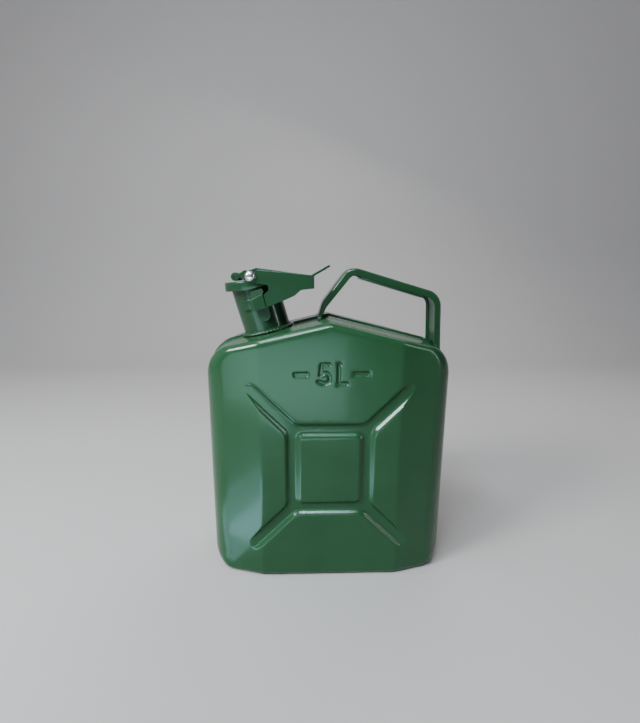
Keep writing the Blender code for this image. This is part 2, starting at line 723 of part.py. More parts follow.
def lid_dish(parent):
    """Pressed dish; its skirt is trimmed away towards the hinge."""
    top = lid_top()
    inner = LID_RADIUS - LID_SHEET
    edge = LID_SHEET
    profile = [(0.0, top), (LID_RADIUS - edge, top), (LID_RADIUS - edge / 4, top - edge / 4),
               (LID_RADIUS, top - edge), (LID_RADIUS, top - SKIRT_DEPTH), (inner, top - SKIRT_DEPTH),
               (inner, top - LID_SHEET), (0.0, top - LID_SHEET)]
    dish = new_object("lid_dish", turned(profile), mouth_frame(), parent)
    low = top - SKIRT_DEPTH
    reach = LID_RADIUS + OVERRUN
    rise = (SKIRT_DEPTH - SKIRT_HINGE_DEPTH) / (LID_RADIUS + SKIRT_RISE_START)
    trim = [(-SKIRT_RISE_START - OVERRUN, low - OVERRUN * (1 + rise)),
            (reach, low - OVERRUN * (1 + rise)),
            (reach, low + rise * (reach + SKIRT_RISE_START)),
            (-SKIRT_RISE_START - OVERRUN, low - OVERRUN * rise)]
    cut = new_object("skirt_cut", plate(trim, -reach, reach), mouth_frame())
    boolean(dish, cut, "DIFFERENCE")


def lid_gasket(parent):
    """Flat rubber ring inside the lid."""
    low = 2 * FIT_GAP + MOUTH_RING_HEIGHT
    high = low + GASKET_THICKNESS
    profile = [(GASKET_OUTER, high), (GASKET_OUTER, low), (GASKET_INNER, low), (GASKET_INNER, high)]
    new_object("lid_gasket", turned(profile), mouth_frame(), parent, "black_rubber")


def lid_saddle(parent):
    """Bridge on the lid: two ears for the axle and a rolled thumb edge."""
    matrix = mouth_frame()
    foot = lid_top() + FIT_GAP
    top = lid_top() + SADDLE_HEIGHT
    step = foot + SADDLE_STEP
    left, right = PIVOT_X - SADDLE_LEFT, PIVOT_X + SADDLE_RIGHT
    foot_left, foot_right = PIVOT_X - SADDLE_FOOT_LEFT, PIVOT_X + SADDLE_FOOT_RIGHT
    outline = [(foot_left, foot), (foot_right, foot), (foot_right, step), (right, step), (right, top),
               (left, top), (left, step), (foot_left, step)]
    saddle = new_object("lid_saddle", plate(outline, -SADDLE_HALF_DEPTH, SADDLE_HALF_DEPTH), matrix, parent)
    inner = SADDLE_HALF_DEPTH - SADDLE_EAR_WALL
    room = box_outline(left - OVERRUN, right + OVERRUN, foot - OVERRUN, top - SADDLE_SHEET)
    boolean(saddle, new_object("saddle_room", plate(room, -inner, inner), matrix), "DIFFERENCE")
    roll_x, roll_z = PIVOT_X - ROLL_REACH, top - ROLL_DROP
    lip = box_outline(roll_x, left + SADDLE_SHEET, top - SADDLE_SHEET, top - SADDLE_SHEET / 8)
    roll = rod("saddle_roll", matrix, ROLL_RADIUS, -ROLL_HALF_LENGTH, ROLL_HALF_LENGTH, roll_x, roll_z)
    tongue_half = ROLL_HALF_LENGTH - FIT_GAP
    tongue = new_object("saddle_lip", plate(lip, -tongue_half, tongue_half), matrix)
    boolean(saddle, tongue, "UNION")
    boolean(saddle, roll, "UNION")
    reach = SADDLE_HALF_DEPTH + OVERRUN
    bore = rod("saddle_bore", matrix, AXLE_RADIUS + FIT_GAP, -reach, reach, PIVOT_X, pivot_height())
    boolean(saddle, bore, "DIFFERENCE")


def hinge_strap(parent):
    """Strap from the lid's top over its rim, down to a knuckle on the hinge pin."""
    matrix = mouth_frame()
    pin_x, pin_z = to_frame(matrix, hinge_frame(), 0.0, 0.0)
    knuckle = HINGE_PIN_RADIUS + FIT_GAP + KNUCKLE_WALL
    low = lid_top() + FIT_GAP
    right = pin_x + knuckle
    bend = STRAP_SHEET * 2
    outline = [(-STRAP_START, low), (right - STRAP_SHEET, low), (right - STRAP_SHEET, pin_z), (right, pin_z)]
    outline += arc(right - bend, low + STRAP_SHEET - bend, bend, 0.0, math.pi / 2, 4)
    outline.append((-STRAP_START, low + STRAP_SHEET))
    strap = new_object("hinge_strap", plate(outline, -STRAP_HALF_WIDTH, STRAP_HALF_WIDTH), matrix, parent)
    eye = rod("strap_knuckle", matrix, knuckle, -STRAP_HALF_WIDTH, STRAP_HALF_WIDTH, pin_x, pin_z)
    boolean(strap, eye, "UNION")
    reach = STRAP_HALF_WIDTH + OVERRUN
    bore = rod("strap_bore", matrix, HINGE_PIN_RADIUS + FIT_GAP, -reach, reach, pin_x, pin_z)
    boolean(strap, bore, "DIFFERENCE")


def pivot_parts(parent):
    """Axle through saddle and cheeks, with a domed push-on cap at each end."""
    matrix = mouth_frame()
    height = pivot_height()
    start = SADDLE_HALF_DEPTH + LEVER_SHEET + 2 * FIT_GAP
    tail = start + AXLE_TAIL
    rod("pivot_axle", matrix, AXLE_RADIUS, -tail, tail, PIVOT_X, height, parent, "zinc_plate")
    pocket = AXLE_RADIUS + FIT_GAP
    profile = [(0.0, CAP_HEIGHT), (CAP_RADIUS / 2, CAP_HEIGHT * CAP_CROWN_SHARE),
               (CAP_RADIUS * CAP_CROWN_SHARE, CAP_HEIGHT * CAP_SHOULDER_SHARE),
               (CAP_RADIUS, CAP_EDGE), (CAP_RADIUS, 0.0), (pocket, 0.0),
               (pocket, AXLE_TAIL + FIT_GAP), (0.0, AXLE_TAIL + FIT_GAP)]
    for name, side in (("pivot_cap_front", -1), ("pivot_cap_rear", 1)):
        stand = matrix @ Matrix.Translation((PIVOT_X, side * start, height))
        stand = stand @ Matrix.Rotation(-side * math.pi / 2, 4, "X")
        new_object(name, turned(profile, 24), stand, parent, "zinc_plate")


# Lever.

def cheek_outline():
    """Outline of the lever's side, clockwise from the nose, in the lever's frame."""
    matrix = lever_frame()
    tip = Vector(to_frame(matrix, mouth_frame(), *beak_tip()))
    world_tip = matrix @ Vector((tip.x, 0.0, tip.y))
    lip_world = Vector((world_tip.x - LIP_BACK, 0.0, world_tip.z - LIP_DROP))
    lip = matrix.inverted() @ lip_world
    notch = Vector((tip.x + NOTCH_REACH, tip.y + NOTCH_RISE))
    roof = (notch.x - NOTCH_RISE, notch.y + NOTCH_ROOF)
    points = arc(0.0, 0.0, LEVER_NOSE_RADIUS, LEVER_NOSE_START, LEVER_NOSE_END, 8)
    points += [(WEB_START / 2, LEVER_RISE * LEVER_NECK_SHARE), (WEB_START, LEVER_RISE)]
    points += [(LEVER_LENGTH, LEVER_RISE)]
    tail_z = LEVER_RISE - LEVER_TAIL_DEPTH
    points += [(LEVER_LENGTH + LEVER_SHEET, tail_z),
               (LEVER_LENGTH - LEVER_TAIL_FLAT * LEVER_TAIL_SHARE, tail_z - LEVER_SHEET * 2)]
    belly_x = LEVER_LENGTH - LEVER_BELLY_RUN
    points += [(belly_x + LEVER_BELLY_RUN / 3, -LEVER_BELLY_DROP * LEVER_BELLY_SHARE),
               (belly_x, -LEVER_BELLY_DROP)]
    points += [(LEVER_TOE + LEVER_SHEET, -LEVER_TOE_DROP + LEVER_SHEET), (LEVER_TOE, -LEVER_TOE_DROP)]
    points += [(lip.x, lip.z), tuple(notch), roof]
    return points


def lever(parent):
    """Channel-shaped lever with its finger tab."""
    matrix = lever_frame()
    inner = SADDLE_HALF_DEPTH + FIT_GAP
    outer = inner + LEVER_SHEET
    body = new_object("lever", plate(cheek_outline(), -outer, outer), matrix, parent)
    under = LEVER_RISE - LEVER_SHEET
    reach = 2 * LEVER_LENGTH
    room = [(-reach, -reach), (reach, -reach), (reach, under),
            (WEB_START, under), (WEB_START, reach), (-reach, reach)]
    boolean(body, new_object("lever_room", plate(room, -inner, inner), matrix), "DIFFERENCE")
    along = Vector((math.cos(TAB_ANGLE), math.sin(TAB_ANGLE)))
    across = Vector((-along.y, along.x)) * LEVER_SHEET
    root = Vector((LEVER_LENGTH - LEVER_SHEET * 1.5, LEVER_RISE - LEVER_SHEET * 0.9))
    width = [(0.0, -TAB_HALF_WIDTH), (TAB_LENGTH - TAB_TIP_RADIUS, -TAB_HALF_WIDTH)]
    round_y = TAB_HALF_WIDTH - TAB_TIP_RADIUS
    width += arc(TAB_LENGTH - TAB_TIP_RADIUS, -round_y, TAB_TIP_RADIUS, -math.pi / 2, 0.0, 4)[1:]
    width += arc(TAB_LENGTH - TAB_TIP_RADIUS, round_y, TAB_TIP_RADIUS, 0.0, math.pi / 2, 4)
    width.append((0.0, TAB_HALF_WIDTH))
    rings = []
    for offset in (Vector((0.0, 0.0)), across):
        rings.append([(*(root + along * run + offset).to_tuple()[:1], y, (root + along * run + offset).y)
                      for run, y in width])
    boolean(body, new_object("lever_tab", loft(rings), matrix), "UNION")
    bore = rod("lever_bore", matrix, AXLE_RADIUS + FIT_GAP, -outer - OVERRUN, outer + OVERRUN)
    boolean(body, bore, "DIFFERENCE")


# Handle.

def handle_right_x():
    """Where the grip's middle line would meet the right leg's."""
    return BODY_HALF_WIDTH - HANDLE_RIGHT_INSET


def handle_foot_x():
    """Where the right leg's middle line meets the shoulder."""
    return BODY_HALF_WIDTH - HANDLE_FOOT_INSET


def handle_path():
    """Middle line of the handle's strap, foot to foot."""
    left_z = roof_z(HANDLE_LEFT_X)
    knee_z = left_z + HANDLE_KNEE_RISE
    top_z = knee_z + (HANDLE_TOP_X - HANDLE_LEFT_X) * math.tan(HANDLE_LEG_ANGLE)
    right_z = top_z - (handle_right_x() - HANDLE_TOP_X) * math.tan(HANDLE_GRIP_SLOPE)
    corners = [(HANDLE_LEFT_X, left_z - HANDLE_THICKNESS), (HANDLE_LEFT_X, knee_z), (HANDLE_TOP_X, top_z),
               (handle_right_x(), right_z), (handle_foot_x(), roof_z(BODY_HALF_WIDTH) - SHOULDER_RADIUS / 2)]
    return filleted_path(corners, (HANDLE_KNEE_RADIUS, HANDLE_LEFT_RADIUS, HANDLE_RIGHT_RADIUS))


def channel_section():
    """Section of the strap: a channel, open on the inner side, with rounded outer edges."""
    half = HANDLE_THICKNESS / 2
    edge = HANDLE_EDGE_RADIUS
    depth = HANDLE_HALF_DEPTH
    outer = [(-half, -depth)]
    outer += arc(half - edge, -depth + edge, edge, -math.pi / 2, 0.0, 3)
    outer += arc(half - edge, depth - edge, edge, 0.0, math.pi / 2, 3)
    outer.append((-half, depth))
    inner_edge = max(edge - HANDLE_WALL, HANDLE_WALL / 2)
    web = half - HANDLE_WALL
    side = depth - HANDLE_WALL
    inner = [(-half, side)]
    inner += arc(web - inner_edge, side - inner_edge, inner_edge, math.pi / 2, 0.0, 2)
    inner += arc(web - inner_edge, -side + inner_edge, inner_edge, 0.0, -math.pi / 2, 2)
    inner.append((-half, -side))
    return outer + inner


def handle_strap(cuts):
    """Bent channel, trimmed to the roof and notched over the seam."""
    strap = new_object("handle_strap", loft(sweep_rings(handle_path(), channel_section())))
    for tool in cuts:
        boolean(strap, tool, "DIFFERENCE")


def handle_liner():
    """Folded liner that closes the grip from below."""
    path = handle_path()
    steps = 6
    start, end = path[2 * steps], path[2 * steps + 1]
    along = (end - start).normalized()
    top = -HANDLE_THICKNESS / 2 - FIT_GAP
    low = top - LINER_THICKNESS
    side = HANDLE_HALF_DEPTH
    section = [(top, -side), (top, side), (low + LINER_BEVEL, side), (low, side - LINER_BEVEL),
               (low, -side + LINER_BEVEL), (low + LINER_BEVEL, -side)]
    run = [start + along * LINER_INSET, end - along * LINER_INSET]
    new_object("handle_liner", loft(sweep_rings(run, section)))


def handle_weld(name, x, side, cuts):
    """Weld bead along one flange of the handle's foot."""
    half = HANDLE_THICKNESS / 2
    inner = HANDLE_HALF_DEPTH + FIT_GAP
    surface = roof_z(x) if abs(x) < BODY_HALF_WIDTH - SHOULDER_RADIUS else shoulder_z(x)
    top = surface + WELD_LEG * 2
    low = surface - HANDLE_THICKNESS
    rings = []
    for spot in (x - half, x + half):
        rings.append([(spot, side * inner, low), (spot, side * (inner + WELD_LEG * 2), low),
                      (spot, side * inner, top)])
    bead = new_object(name, loft(rings))
    for tool in cuts:
        boolean(bead, tool, "DIFFERENCE")


def shoulder_z(x):
    """Height of the shoulder's arc."""
    center_x = BODY_HALF_WIDTH - SHOULDER_RADIUS
    center_z = ROOF_APEX - (SHOULDER_RADIUS + center_x * math.sin(ROOF_SLOPE)) / math.cos(ROOF_SLOPE)
    return center_z + math.sqrt(SHOULDER_RADIUS ** 2 - (abs(x) - center_x) ** 2)


def main():
    """Build every piece."""
    clear_scene()
    neck_cut = post("neck_cut", neck_frame(), NECK_RADIUS + FIT_GAP, -2 * NECK_RADIUS, 2 * MOUTH_RISE)
    flange_cut = neck_weld_ring(neck_cut)
    shell_shape("front_shell", -1, (neck_cut, flange_cut))
    shell_shape("rear_shell", 1, (neck_cut, flange_cut))
    seam_weld((flange_cut,))
    neck_tube()
    mouth_ring()
    vent_tube()
    neck_bracket(neck_cut)
    hinge_pin()
    latch_lug("latch_lug_front", -1, neck_cut)
    latch_lug("latch_lug_rear", 1, neck_cut)

    hinge = hinge_frame().translation
    pivot = lever_frame().translation
    lid_axis = axis_empty("lid_axis", hinge)
    lever_axis = axis_empty("lever_axis", pivot)
    lid_dish(lid_axis)
    lid_gasket(lid_axis)
    lid_saddle(lid_axis)
    hinge_strap(lid_axis)
    pivot_parts(lid_axis)
    lever(lever_axis)

    body_cut = outline_prism("body_cut", FIT_GAP, HANDLE_HALF_DEPTH + 3 * WELD_LEG)
    ridge = FLANGE_HEIGHT + BEAD_HEIGHT + FIT_GAP + TUNNEL_CLEARANCE
    tunnel = outline_prism("seam_tunnel", ridge, TUNNEL_HALF_WIDTH)
    handle_strap((body_cut, tunnel))
    handle_liner()
    for end, x in (("left", HANDLE_LEFT_X), ("right", handle_foot_x())):
        for name, side in (("front", -1), ("rear", 1)):
            handle_weld(f"handle_weld_{end}_{name}", x, side, (body_cut,))


main()
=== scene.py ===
"""Dressed model of a small pressed-steel jerry can, round its fixed frame of solids.

The frame's nodes carry the real sizes.  Each class below models one sub-assembly in fine meshes that
stand for those nodes, and dresses it.  All lengths are metres, and all angles are radians.
"""
from __future__ import annotations

import logging
import math
from dataclasses import dataclass
from enum import Enum
from typing import Callable, Sequence

import bmesh
import bpy
from mathutils import Matrix, Vector


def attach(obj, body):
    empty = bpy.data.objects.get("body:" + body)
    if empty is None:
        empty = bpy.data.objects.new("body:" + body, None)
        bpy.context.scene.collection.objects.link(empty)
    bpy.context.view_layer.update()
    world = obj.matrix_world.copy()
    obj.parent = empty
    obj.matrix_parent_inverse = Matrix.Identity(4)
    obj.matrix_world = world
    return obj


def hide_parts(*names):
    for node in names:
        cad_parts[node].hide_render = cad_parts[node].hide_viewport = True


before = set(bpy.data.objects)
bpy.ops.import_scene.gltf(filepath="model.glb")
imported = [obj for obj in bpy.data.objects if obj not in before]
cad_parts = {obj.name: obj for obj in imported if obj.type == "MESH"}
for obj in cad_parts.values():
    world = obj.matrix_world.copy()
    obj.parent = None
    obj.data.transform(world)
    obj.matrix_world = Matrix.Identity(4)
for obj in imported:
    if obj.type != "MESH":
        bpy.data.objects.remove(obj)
LOG = logging.getLogger("jerry_can")
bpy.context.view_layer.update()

Mesh = bmesh.types.BMesh
Piece = bpy.types.Object
Tree = bpy.types.NodeTree
Socket = bpy.types.NodeSocket
Point = tuple[float, float]
Place = tuple[float, float, float]
Colour = tuple[float, float, float]

QUARTER = math.pi / 2
MERGE = 0.000002
SHARP = math.radians(32)
STEEP = math.radians(60)
SHEET_SHARP = math.radians(40)
FOLD = math.radians(35)
SHEET_FOLD = math.radians(50)
CROSSWAYS = Matrix.Rotation(QUARTER, 4, "X")


class Side(Enum):
    """The two faces of the can, with the way their Y points."""

    FRONT = -1
    REAR = 1

    @property
    def word(self) -> str:
        """Return the side's word in the names of pieces."""
        return self.name.lower()


class End(Enum):
    """The two feet of the handle."""

    LEFT = "left"
    RIGHT = "right"


class Body(Enum):
    """Bodies of the frame that pieces ride on."""

    CAN = "can"
    LID = "lid"
    LEVER = "lever"


class Finish(Enum):
    """Finishes, by the names of their materials."""

    BODY = "body_enamel"
    PART = "part_enamel"
    WELD = "weld_enamel"
    ZINC = "zinc_plate"
    RUBBER = "black_rubber"

    @property
    def slot(self) -> str:
        """Return the record's material slot for this finish."""
        return self.value if self in (Finish.ZINC, Finish.RUBBER) else "green_paint"


# Small mathematics.

def mm(value: float) -> float:
    """Return a length given in millimetres, in metres."""
    return value * 0.001


def blend(low: float, high: float, share: float) -> float:
    """Return the value a share of the way from low to high."""
    return low + (high - low) * share


def smooth(value: float) -> float:
    """Return a smooth step from 0 to 1 as value goes from 0 to 1."""
    clamped = min(max(value, 0.0), 1.0)
    return clamped * clamped * (3 - 2 * clamped)


def soft_max(first: float, second: float, width: float) -> float:
    """Return the larger value, rounded where the two meet."""
    gap = max(width - abs(first - second), 0.0) / width
    return max(first, second) + gap * gap * width / 4


def eased(value: float, share: float) -> float:
    """Return a straight ramp from 0 to 1 whose two ends are rounded over a share of its run."""
    climb = soft_max(min(max(value, -2 * share), 1 + 2 * share), 0.0, 2 * share)
    return -soft_max(-climb, -1.0, 2 * share)


def inset_of(radius: float, past: float) -> float:
    """Return how far a round corner has drawn in at a place past its start."""
    return radius - math.sqrt(max(radius ** 2 - max(past, 0.0) ** 2, 0.0))


def arc(centre: Point, radius: float, start: float, end: float, steps: int) -> list[Point]:
    """Return points of an arc, both ends included.

    Args:
        centre: The arc's centre.
        radius: Its radius.
        start: First angle.
        end: Last angle.
        steps: How many chords it has.

    Returns:
        steps + 1 points.
    """
    turns = [blend(start, end, step / steps) for step in range(steps + 1)]
    return [(centre[0] + radius * math.cos(turn), centre[1] + radius * math.sin(turn)) for turn in turns]


def bend(x: float, z: float, radius: float, start: int, steps: int, way: int = 1) -> list[Point]:
    """Return a quarter circle that starts a number of quarter turns round, and runs either way."""
    return arc((x, z), radius, start * QUARTER, (start + way) * QUARTER, steps)


def circle(radius: float, steps: int) -> list[Point]:
    """Return points of a circle round the origin."""
    return arc((0.0, 0.0), radius, 0.0, math.tau, steps)[:-1]


def filleted(corners: Sequence[Point], radii: Sequence[float], steps: int = 8) -> list[Point]:
    """Round the inner corners of an open polyline.

    Args:
        corners: The polyline's points.
        radii: One radius for each inner corner.
        steps: Chords in each rounding.

    Returns:
        The rounded line's points.
    """
    points = [corners[0]]
    for before, corner, after, radius in zip(corners, corners[1:], corners[2:], radii):
        back = (Vector(before) - Vector(corner)).normalized()
        ahead = (Vector(after) - Vector(corner)).normalized()
        half = back.angle(ahead) / 2
        centre = Vector(corner) + (back + ahead).normalized() * (radius / math.sin(half))
        start = (Vector(corner) + back * (radius / math.tan(half)) - centre).normalized()
        end = (Vector(corner) + ahead * (radius / math.tan(half)) - centre).normalized()
        points += [tuple(centre + start.slerp(end, step / steps) * radius) for step in range(steps + 1)]
    return points + [corners[-1]]


def closed_fillet(corners: Sequence[Place], steps: int) -> list[Point]:
    """Round the corners of a closed outline.

    Args:
        corners: Points with a radius each: (x, z, radius).
        steps: Chords in each rounding.

    Returns:
        The rounded outline's points.
    """
    points: list[Point] = []
    for index, (x, z, radius) in enumerate(corners):
        before, after = corners[index - 1], corners[(index + 1) % len(corners)]
        points += filleted([before[:2], (x, z), after[:2]], [radius], steps)[1:-1]
    return points


def segment_distance(point: Point, first: Point, last: Point) -> float:
    """Return the distance from a point to a line segment.

    Args:
        point: The point.
        first: The segment's start.
        last: Its end.

    Returns:
        The least distance.
    """
    run_x, run_z = last[0] - first[0], last[1] - first[1]
    share = ((point[0] - first[0]) * run_x + (point[1] - first[1]) * run_z) / (run_x ** 2 + run_z ** 2)
    share = min(max(share, 0.0), 1.0)
    return math.hypot(point[0] - first[0] - share * run_x, point[1] - first[1] - share * run_z)


def looked_up(table: Sequence[Place], key: float) -> Point:
    """Interpolate in a table.

    Args:
        table: (key, first, second) rows, in rising order.
        key: Where to look.

    Returns:
        The two values there.
    """
    for before, after in zip(table, table[1:]):
        if key <= after[0]:
            share = min(max((key - before[0]) / (after[0] - before[0]), 0.0), 1.0)
            return blend(before[1], after[1], share), blend(before[2], after[2], share)
    return table[-1][1], table[-1][2]


def frame_at(x: float, z: float, turn: float) -> Matrix:
    """Return a frame in the middle plane, turned clockwise as the front view shows it."""
    return Matrix.Translation((x, 0.0, z)) @ Matrix.Rotation(turn, 4, "Y")


def carried(source: Matrix, target: Matrix, point: Point) -> Point:
    """Take a point of one frame's middle plane into another frame."""
    moved = target.inverted() @ source @ Vector((point[0], 0.0, point[1]))
    return moved.x, moved.z


def stepped(point: Point, step: Point) -> Point:
    """Return a point moved by a step."""
    return point[0] + step[0], point[1] + step[1]


def box(left: float, right: float, low: float, high: float) -> list[Point]:
    """Return a rectangle's corners."""
    return [(left, low), (right, low), (right, high), (left, high)]


# Mesh tools.

def shaded(mesh: bpy.types.Mesh, sharp: float) -> None:
    """Shade a mesh smooth, but for edges that turn more than an angle."""
    mesh.shade_smooth()
    mesh.set_sharp_from_angle(angle=sharp)


def finished(name: str, bm: Mesh, matrix: Matrix = Matrix(), sharp: float = SHARP) -> Piece:
    """Turn a bmesh into an object at the origin, with its faces pointing out and shaded smooth.

    Args:
        name: The piece's name.
        bm: The mesh, which is freed.
        matrix: The frame that it was modelled in.
        sharp: Edges that turn more than this stay sharp.

    Returns:
        The new object.
    """
    bmesh.ops.transform(bm, matrix=matrix, verts=bm.verts)
    bmesh.ops.remove_doubles(bm, verts=bm.verts, dist=MERGE)
    bmesh.ops.recalc_face_normals(bm, faces=bm.faces)
    mesh = bpy.data.meshes.new(name)
    bm.to_mesh(mesh)
    bm.free()
    shaded(mesh, sharp)
    piece = bpy.data.objects.new(name, mesh)
    bpy.context.scene.collection.objects.link(piece)
    return piece


def baked(piece: Piece, sharp: float = SHARP) -> None:
    """Apply a piece's modifiers and shade the result.

    Args:
        piece: The piece.
        sharp: Edges that turn more than this stay sharp.
    """
    mesh = bpy.data.meshes.new_from_object(piece.evaluated_get(bpy.context.evaluated_depsgraph_get()))
    piece.modifiers.clear()
    piece.data = mesh
    shaded(mesh, sharp)


def cut_away(piece: Piece, tool: Piece) -> None:
    """Cut a tool out of a piece with an exact Boolean, and delete the tool.

    Args:
        piece: What is cut.
        tool: The cutter.
    """
    modifier = piece.modifiers.new("cut", "BOOLEAN")
    modifier.operation = "DIFFERENCE"
    modifier.solver = "EXACT"
    modifier.object = tool
    baked(piece)
    bpy.data.objects.remove(tool, do_unlink=True)


def thicken(piece: Piece, thickness: float, edge: float) -> None:
    """Give a sheet its thickness and rounded edges, applied to its mesh.

    Args:
        piece: The sheet.
        thickness: Its thickness, half of it on either side.
        edge: How far its edges are rounded.
    """
    sheet = piece.modifiers.new("sheet", "SOLIDIFY")
    sheet.thickness, sheet.offset = thickness, 0.0
    rounding = piece.modifiers.new("edge", "BEVEL")
    rounding.width, rounding.segments = edge, 3
    rounding.limit_method, rounding.angle_limit = "ANGLE", SHEET_FOLD
    baked(piece, SHEET_SHARP)


def joined(piece: Piece, other: Piece) -> None:
    """Add another object's mesh to a piece's own, and delete the other.

    Args:
        piece: The piece that stays.
        other: The object that goes.
    """
    bm = bmesh.new()
    bm.from_mesh(piece.data)
    bm.from_mesh(other.data)
    bm.to_mesh(piece.data)
    bm.free()
    bpy.data.objects.remove(other, do_unlink=True)


def rounded(bm: Mesh, edges: Sequence[bmesh.types.BMEdge], width: float, segments: int, clamp: bool) -> None:
    """Bevel some edges of a mesh to a round profile."""
    bmesh.ops.bevel(bm, geom=edges, offset=width, offset_type="OFFSET", affect="EDGES", segments=segments,
                    profile=0.5, material=-1, clamp_overlap=clamp)


def soften(bm: Mesh, width: float, segments: int = 3, angle: float = FOLD) -> None:
    """Bevel every edge of a mesh that turns more than an angle."""
    edges = [edge for edge in bm.edges if len(edge.link_faces) == 2 and edge.calc_face_angle(0.0) > angle]
    rounded(bm, edges, width, segments, True)


def extruded(points: Sequence[Point], low: float, high: float) -> Mesh:
    """Extrude an outline of the XZ plane along Y.

    Args:
        points: The outline.
        low: Y of its near face.
        high: Y of its far face.

    Returns:
        A closed mesh.
    """
    bm = bmesh.new()
    face = bm.faces.new([bm.verts.new((x, low, z)) for x, z in points])
    grown = bmesh.ops.extrude_face_region(bm, geom=[face])["geom"]
    moved = [item for item in grown if isinstance(item, bmesh.types.BMVert)]
    bmesh.ops.translate(bm, verts=moved, vec=(0.0, high - low, 0.0))
    bmesh.ops.recalc_face_normals(bm, faces=bm.faces)
    return bm


def turned(profile: Sequence[Point], steps: int) -> Mesh:
    """Spin a closed profile about Z.

    Args:
        profile: (radius, height) points.
        steps: How many faces go round.

    Returns:
        A closed mesh.
    """
    bm = bmesh.new()
    verts = [bm.verts.new((radius, 0.0, height)) for radius, height in profile]
    edges = [bm.edges.new(pair) for pair in zip(verts, verts[1:] + verts[:1])]
    bmesh.ops.spin(bm, geom=verts + edges, cent=(0.0, 0.0, 0.0), axis=(0.0, 0.0, 1.0), dvec=(0.0, 0.0, 0.0),
                   angle=math.tau, steps=steps, use_merge=True, use_normal_flip=False, use_duplicate=False)
    bmesh.ops.remove_doubles(bm, verts=bm.verts, dist=MERGE)
    bmesh.ops.delete(bm, geom=[edge for edge in bm.edges if not edge.link_faces], context="EDGES")
    bmesh.ops.recalc_face_normals(bm, faces=bm.faces)
    return bm


def draped(rings: Sequence[Sequence[Place]], loop: bool = True, caps: bool = False) -> Mesh:
    """Lay a grid over a row of matching rings.

    Args:
        rings: Rings of equal numbers of points, first to last.
        loop: Whether each ring closes on itself.
        caps: Whether the first and last rings are filled with a face.

    Returns:
        The mesh, with the rings' seam merged.
    """
    rows = [list(ring) + ([ring[0]] if loop else []) for ring in rings]
    bm = bmesh.new()
    bmesh.ops.create_grid(bm, x_segments=len(rows[0]) - 1, y_segments=len(rows) - 1, size=1.0)
    bm.verts.ensure_lookup_table()
    for vert, point in zip(bm.verts, (point for row in rows for point in row)):
        vert.co = point
    bmesh.ops.remove_doubles(bm, verts=bm.verts, dist=MERGE)
    bmesh.ops.delete(bm, geom=[edge for edge in bm.edges if not edge.link_faces], context="EDGES")
    if caps:
        bmesh.ops.holes_fill(bm, edges=[edge for edge in bm.edges if edge.is_boundary], sides=0)
    bmesh.ops.recalc_face_normals(bm, faces=bm.faces)
    return bm


def path_rings(path: Sequence[Vector], section: Sequence[Point]) -> list[list[Place]]:
    """Carry a section along a path in the XZ plane.

    Args:
        path: Points of the path.
        section: (across, depth) points; across is to the left of the path.

    Returns:
        One ring for each point of the path.
    """
    rings = []
    for index, point in enumerate(path):
        along = (path[min(index + 1, len(path) - 1)] - path[max(index - 1, 0)]).normalized()
        rings.append([(point.x - along.y * across, depth, point.y + along.x * across)
                      for across, depth in section])
    return rings


def refine(bm: Mesh, height: Callable[[float, float], float], passes: int, limits: Point) -> None:
    """Split the edges that a height field bends or climbs along, so that its walls come out clean.

    Args:
        bm: A mesh whose X and Z are in place.
        height: The height field, of X and Z.
        passes: How many times an edge may be split.
        limits: How far the field may stand off an edge's middle, and how far it may climb along one.
    """
    for _ in range(passes):
        chosen = []
        for edge in (edge for edge in bm.edges if not edge.is_boundary):
            first, last = (vert.co for vert in edge.verts)
            start, end = height(first.x, first.z), height(last.x, last.z)
            middle = height((first.x + last.x) / 2, (first.z + last.z) / 2)
            if abs(middle - (start + end) / 2) > limits[0] or abs(start - end) > limits[1]:
                chosen.append(edge)
        bmesh.ops.subdivide_edges(bm, edges=chosen, cuts=1, use_grid_fill=True)


def block(name: str, outline: Sequence[Point], half: float, matrix: Matrix, width: float = 0.0,
          segments: int = 3, angle: float = FOLD) -> Piece:
    """Return a block across the middle plane.

    Args:
        name: Its name.
        outline: Its outline in the frame's XZ plane.
        half: Half its depth.
        matrix: The frame.
        width: How far its edges are rounded.
        segments: Chords in a rounded edge.
        angle: Edges that turn more than this are rounded.

    Returns:
        The block.
    """
    bm = extruded(outline, -half, half)
    if width:
        soften(bm, width, segments, angle)
    return finished(name, bm, matrix)


def post(matrix: Matrix, radius: float, low: float, high: float, steps: int = 96) -> Piece:
    """Return a round cutter along a frame's Z axis."""
    rings = [[(x, y, z) for x, y in circle(radius, steps)] for z in (low, high)]
    return finished("post", draped(rings, caps=True), matrix)


# The can's outline and pressings.

@dataclass(frozen=True)
class Slot:
    """One place on the seam outline, and how it moves when the outline is inset.

    Attributes:
        x: Place along the can.
        z: Height.
        move_x: Sideways move for each metre of inset.
        move_z: Upward move for each metre of inset.
        sideways: How far its normal points sideways, squared.
        low: 1 on the floor, falling to 0 up the side.
    """

    x: float
    z: float
    move_x: float
    move_z: float
    sideways: float
    low: float

    def mirrored(self) -> Slot:
        """Return the slot's twin on the other side of the can."""
        return Slot(-self.x, self.z, -self.move_x, self.move_z, self.sideways, self.low)


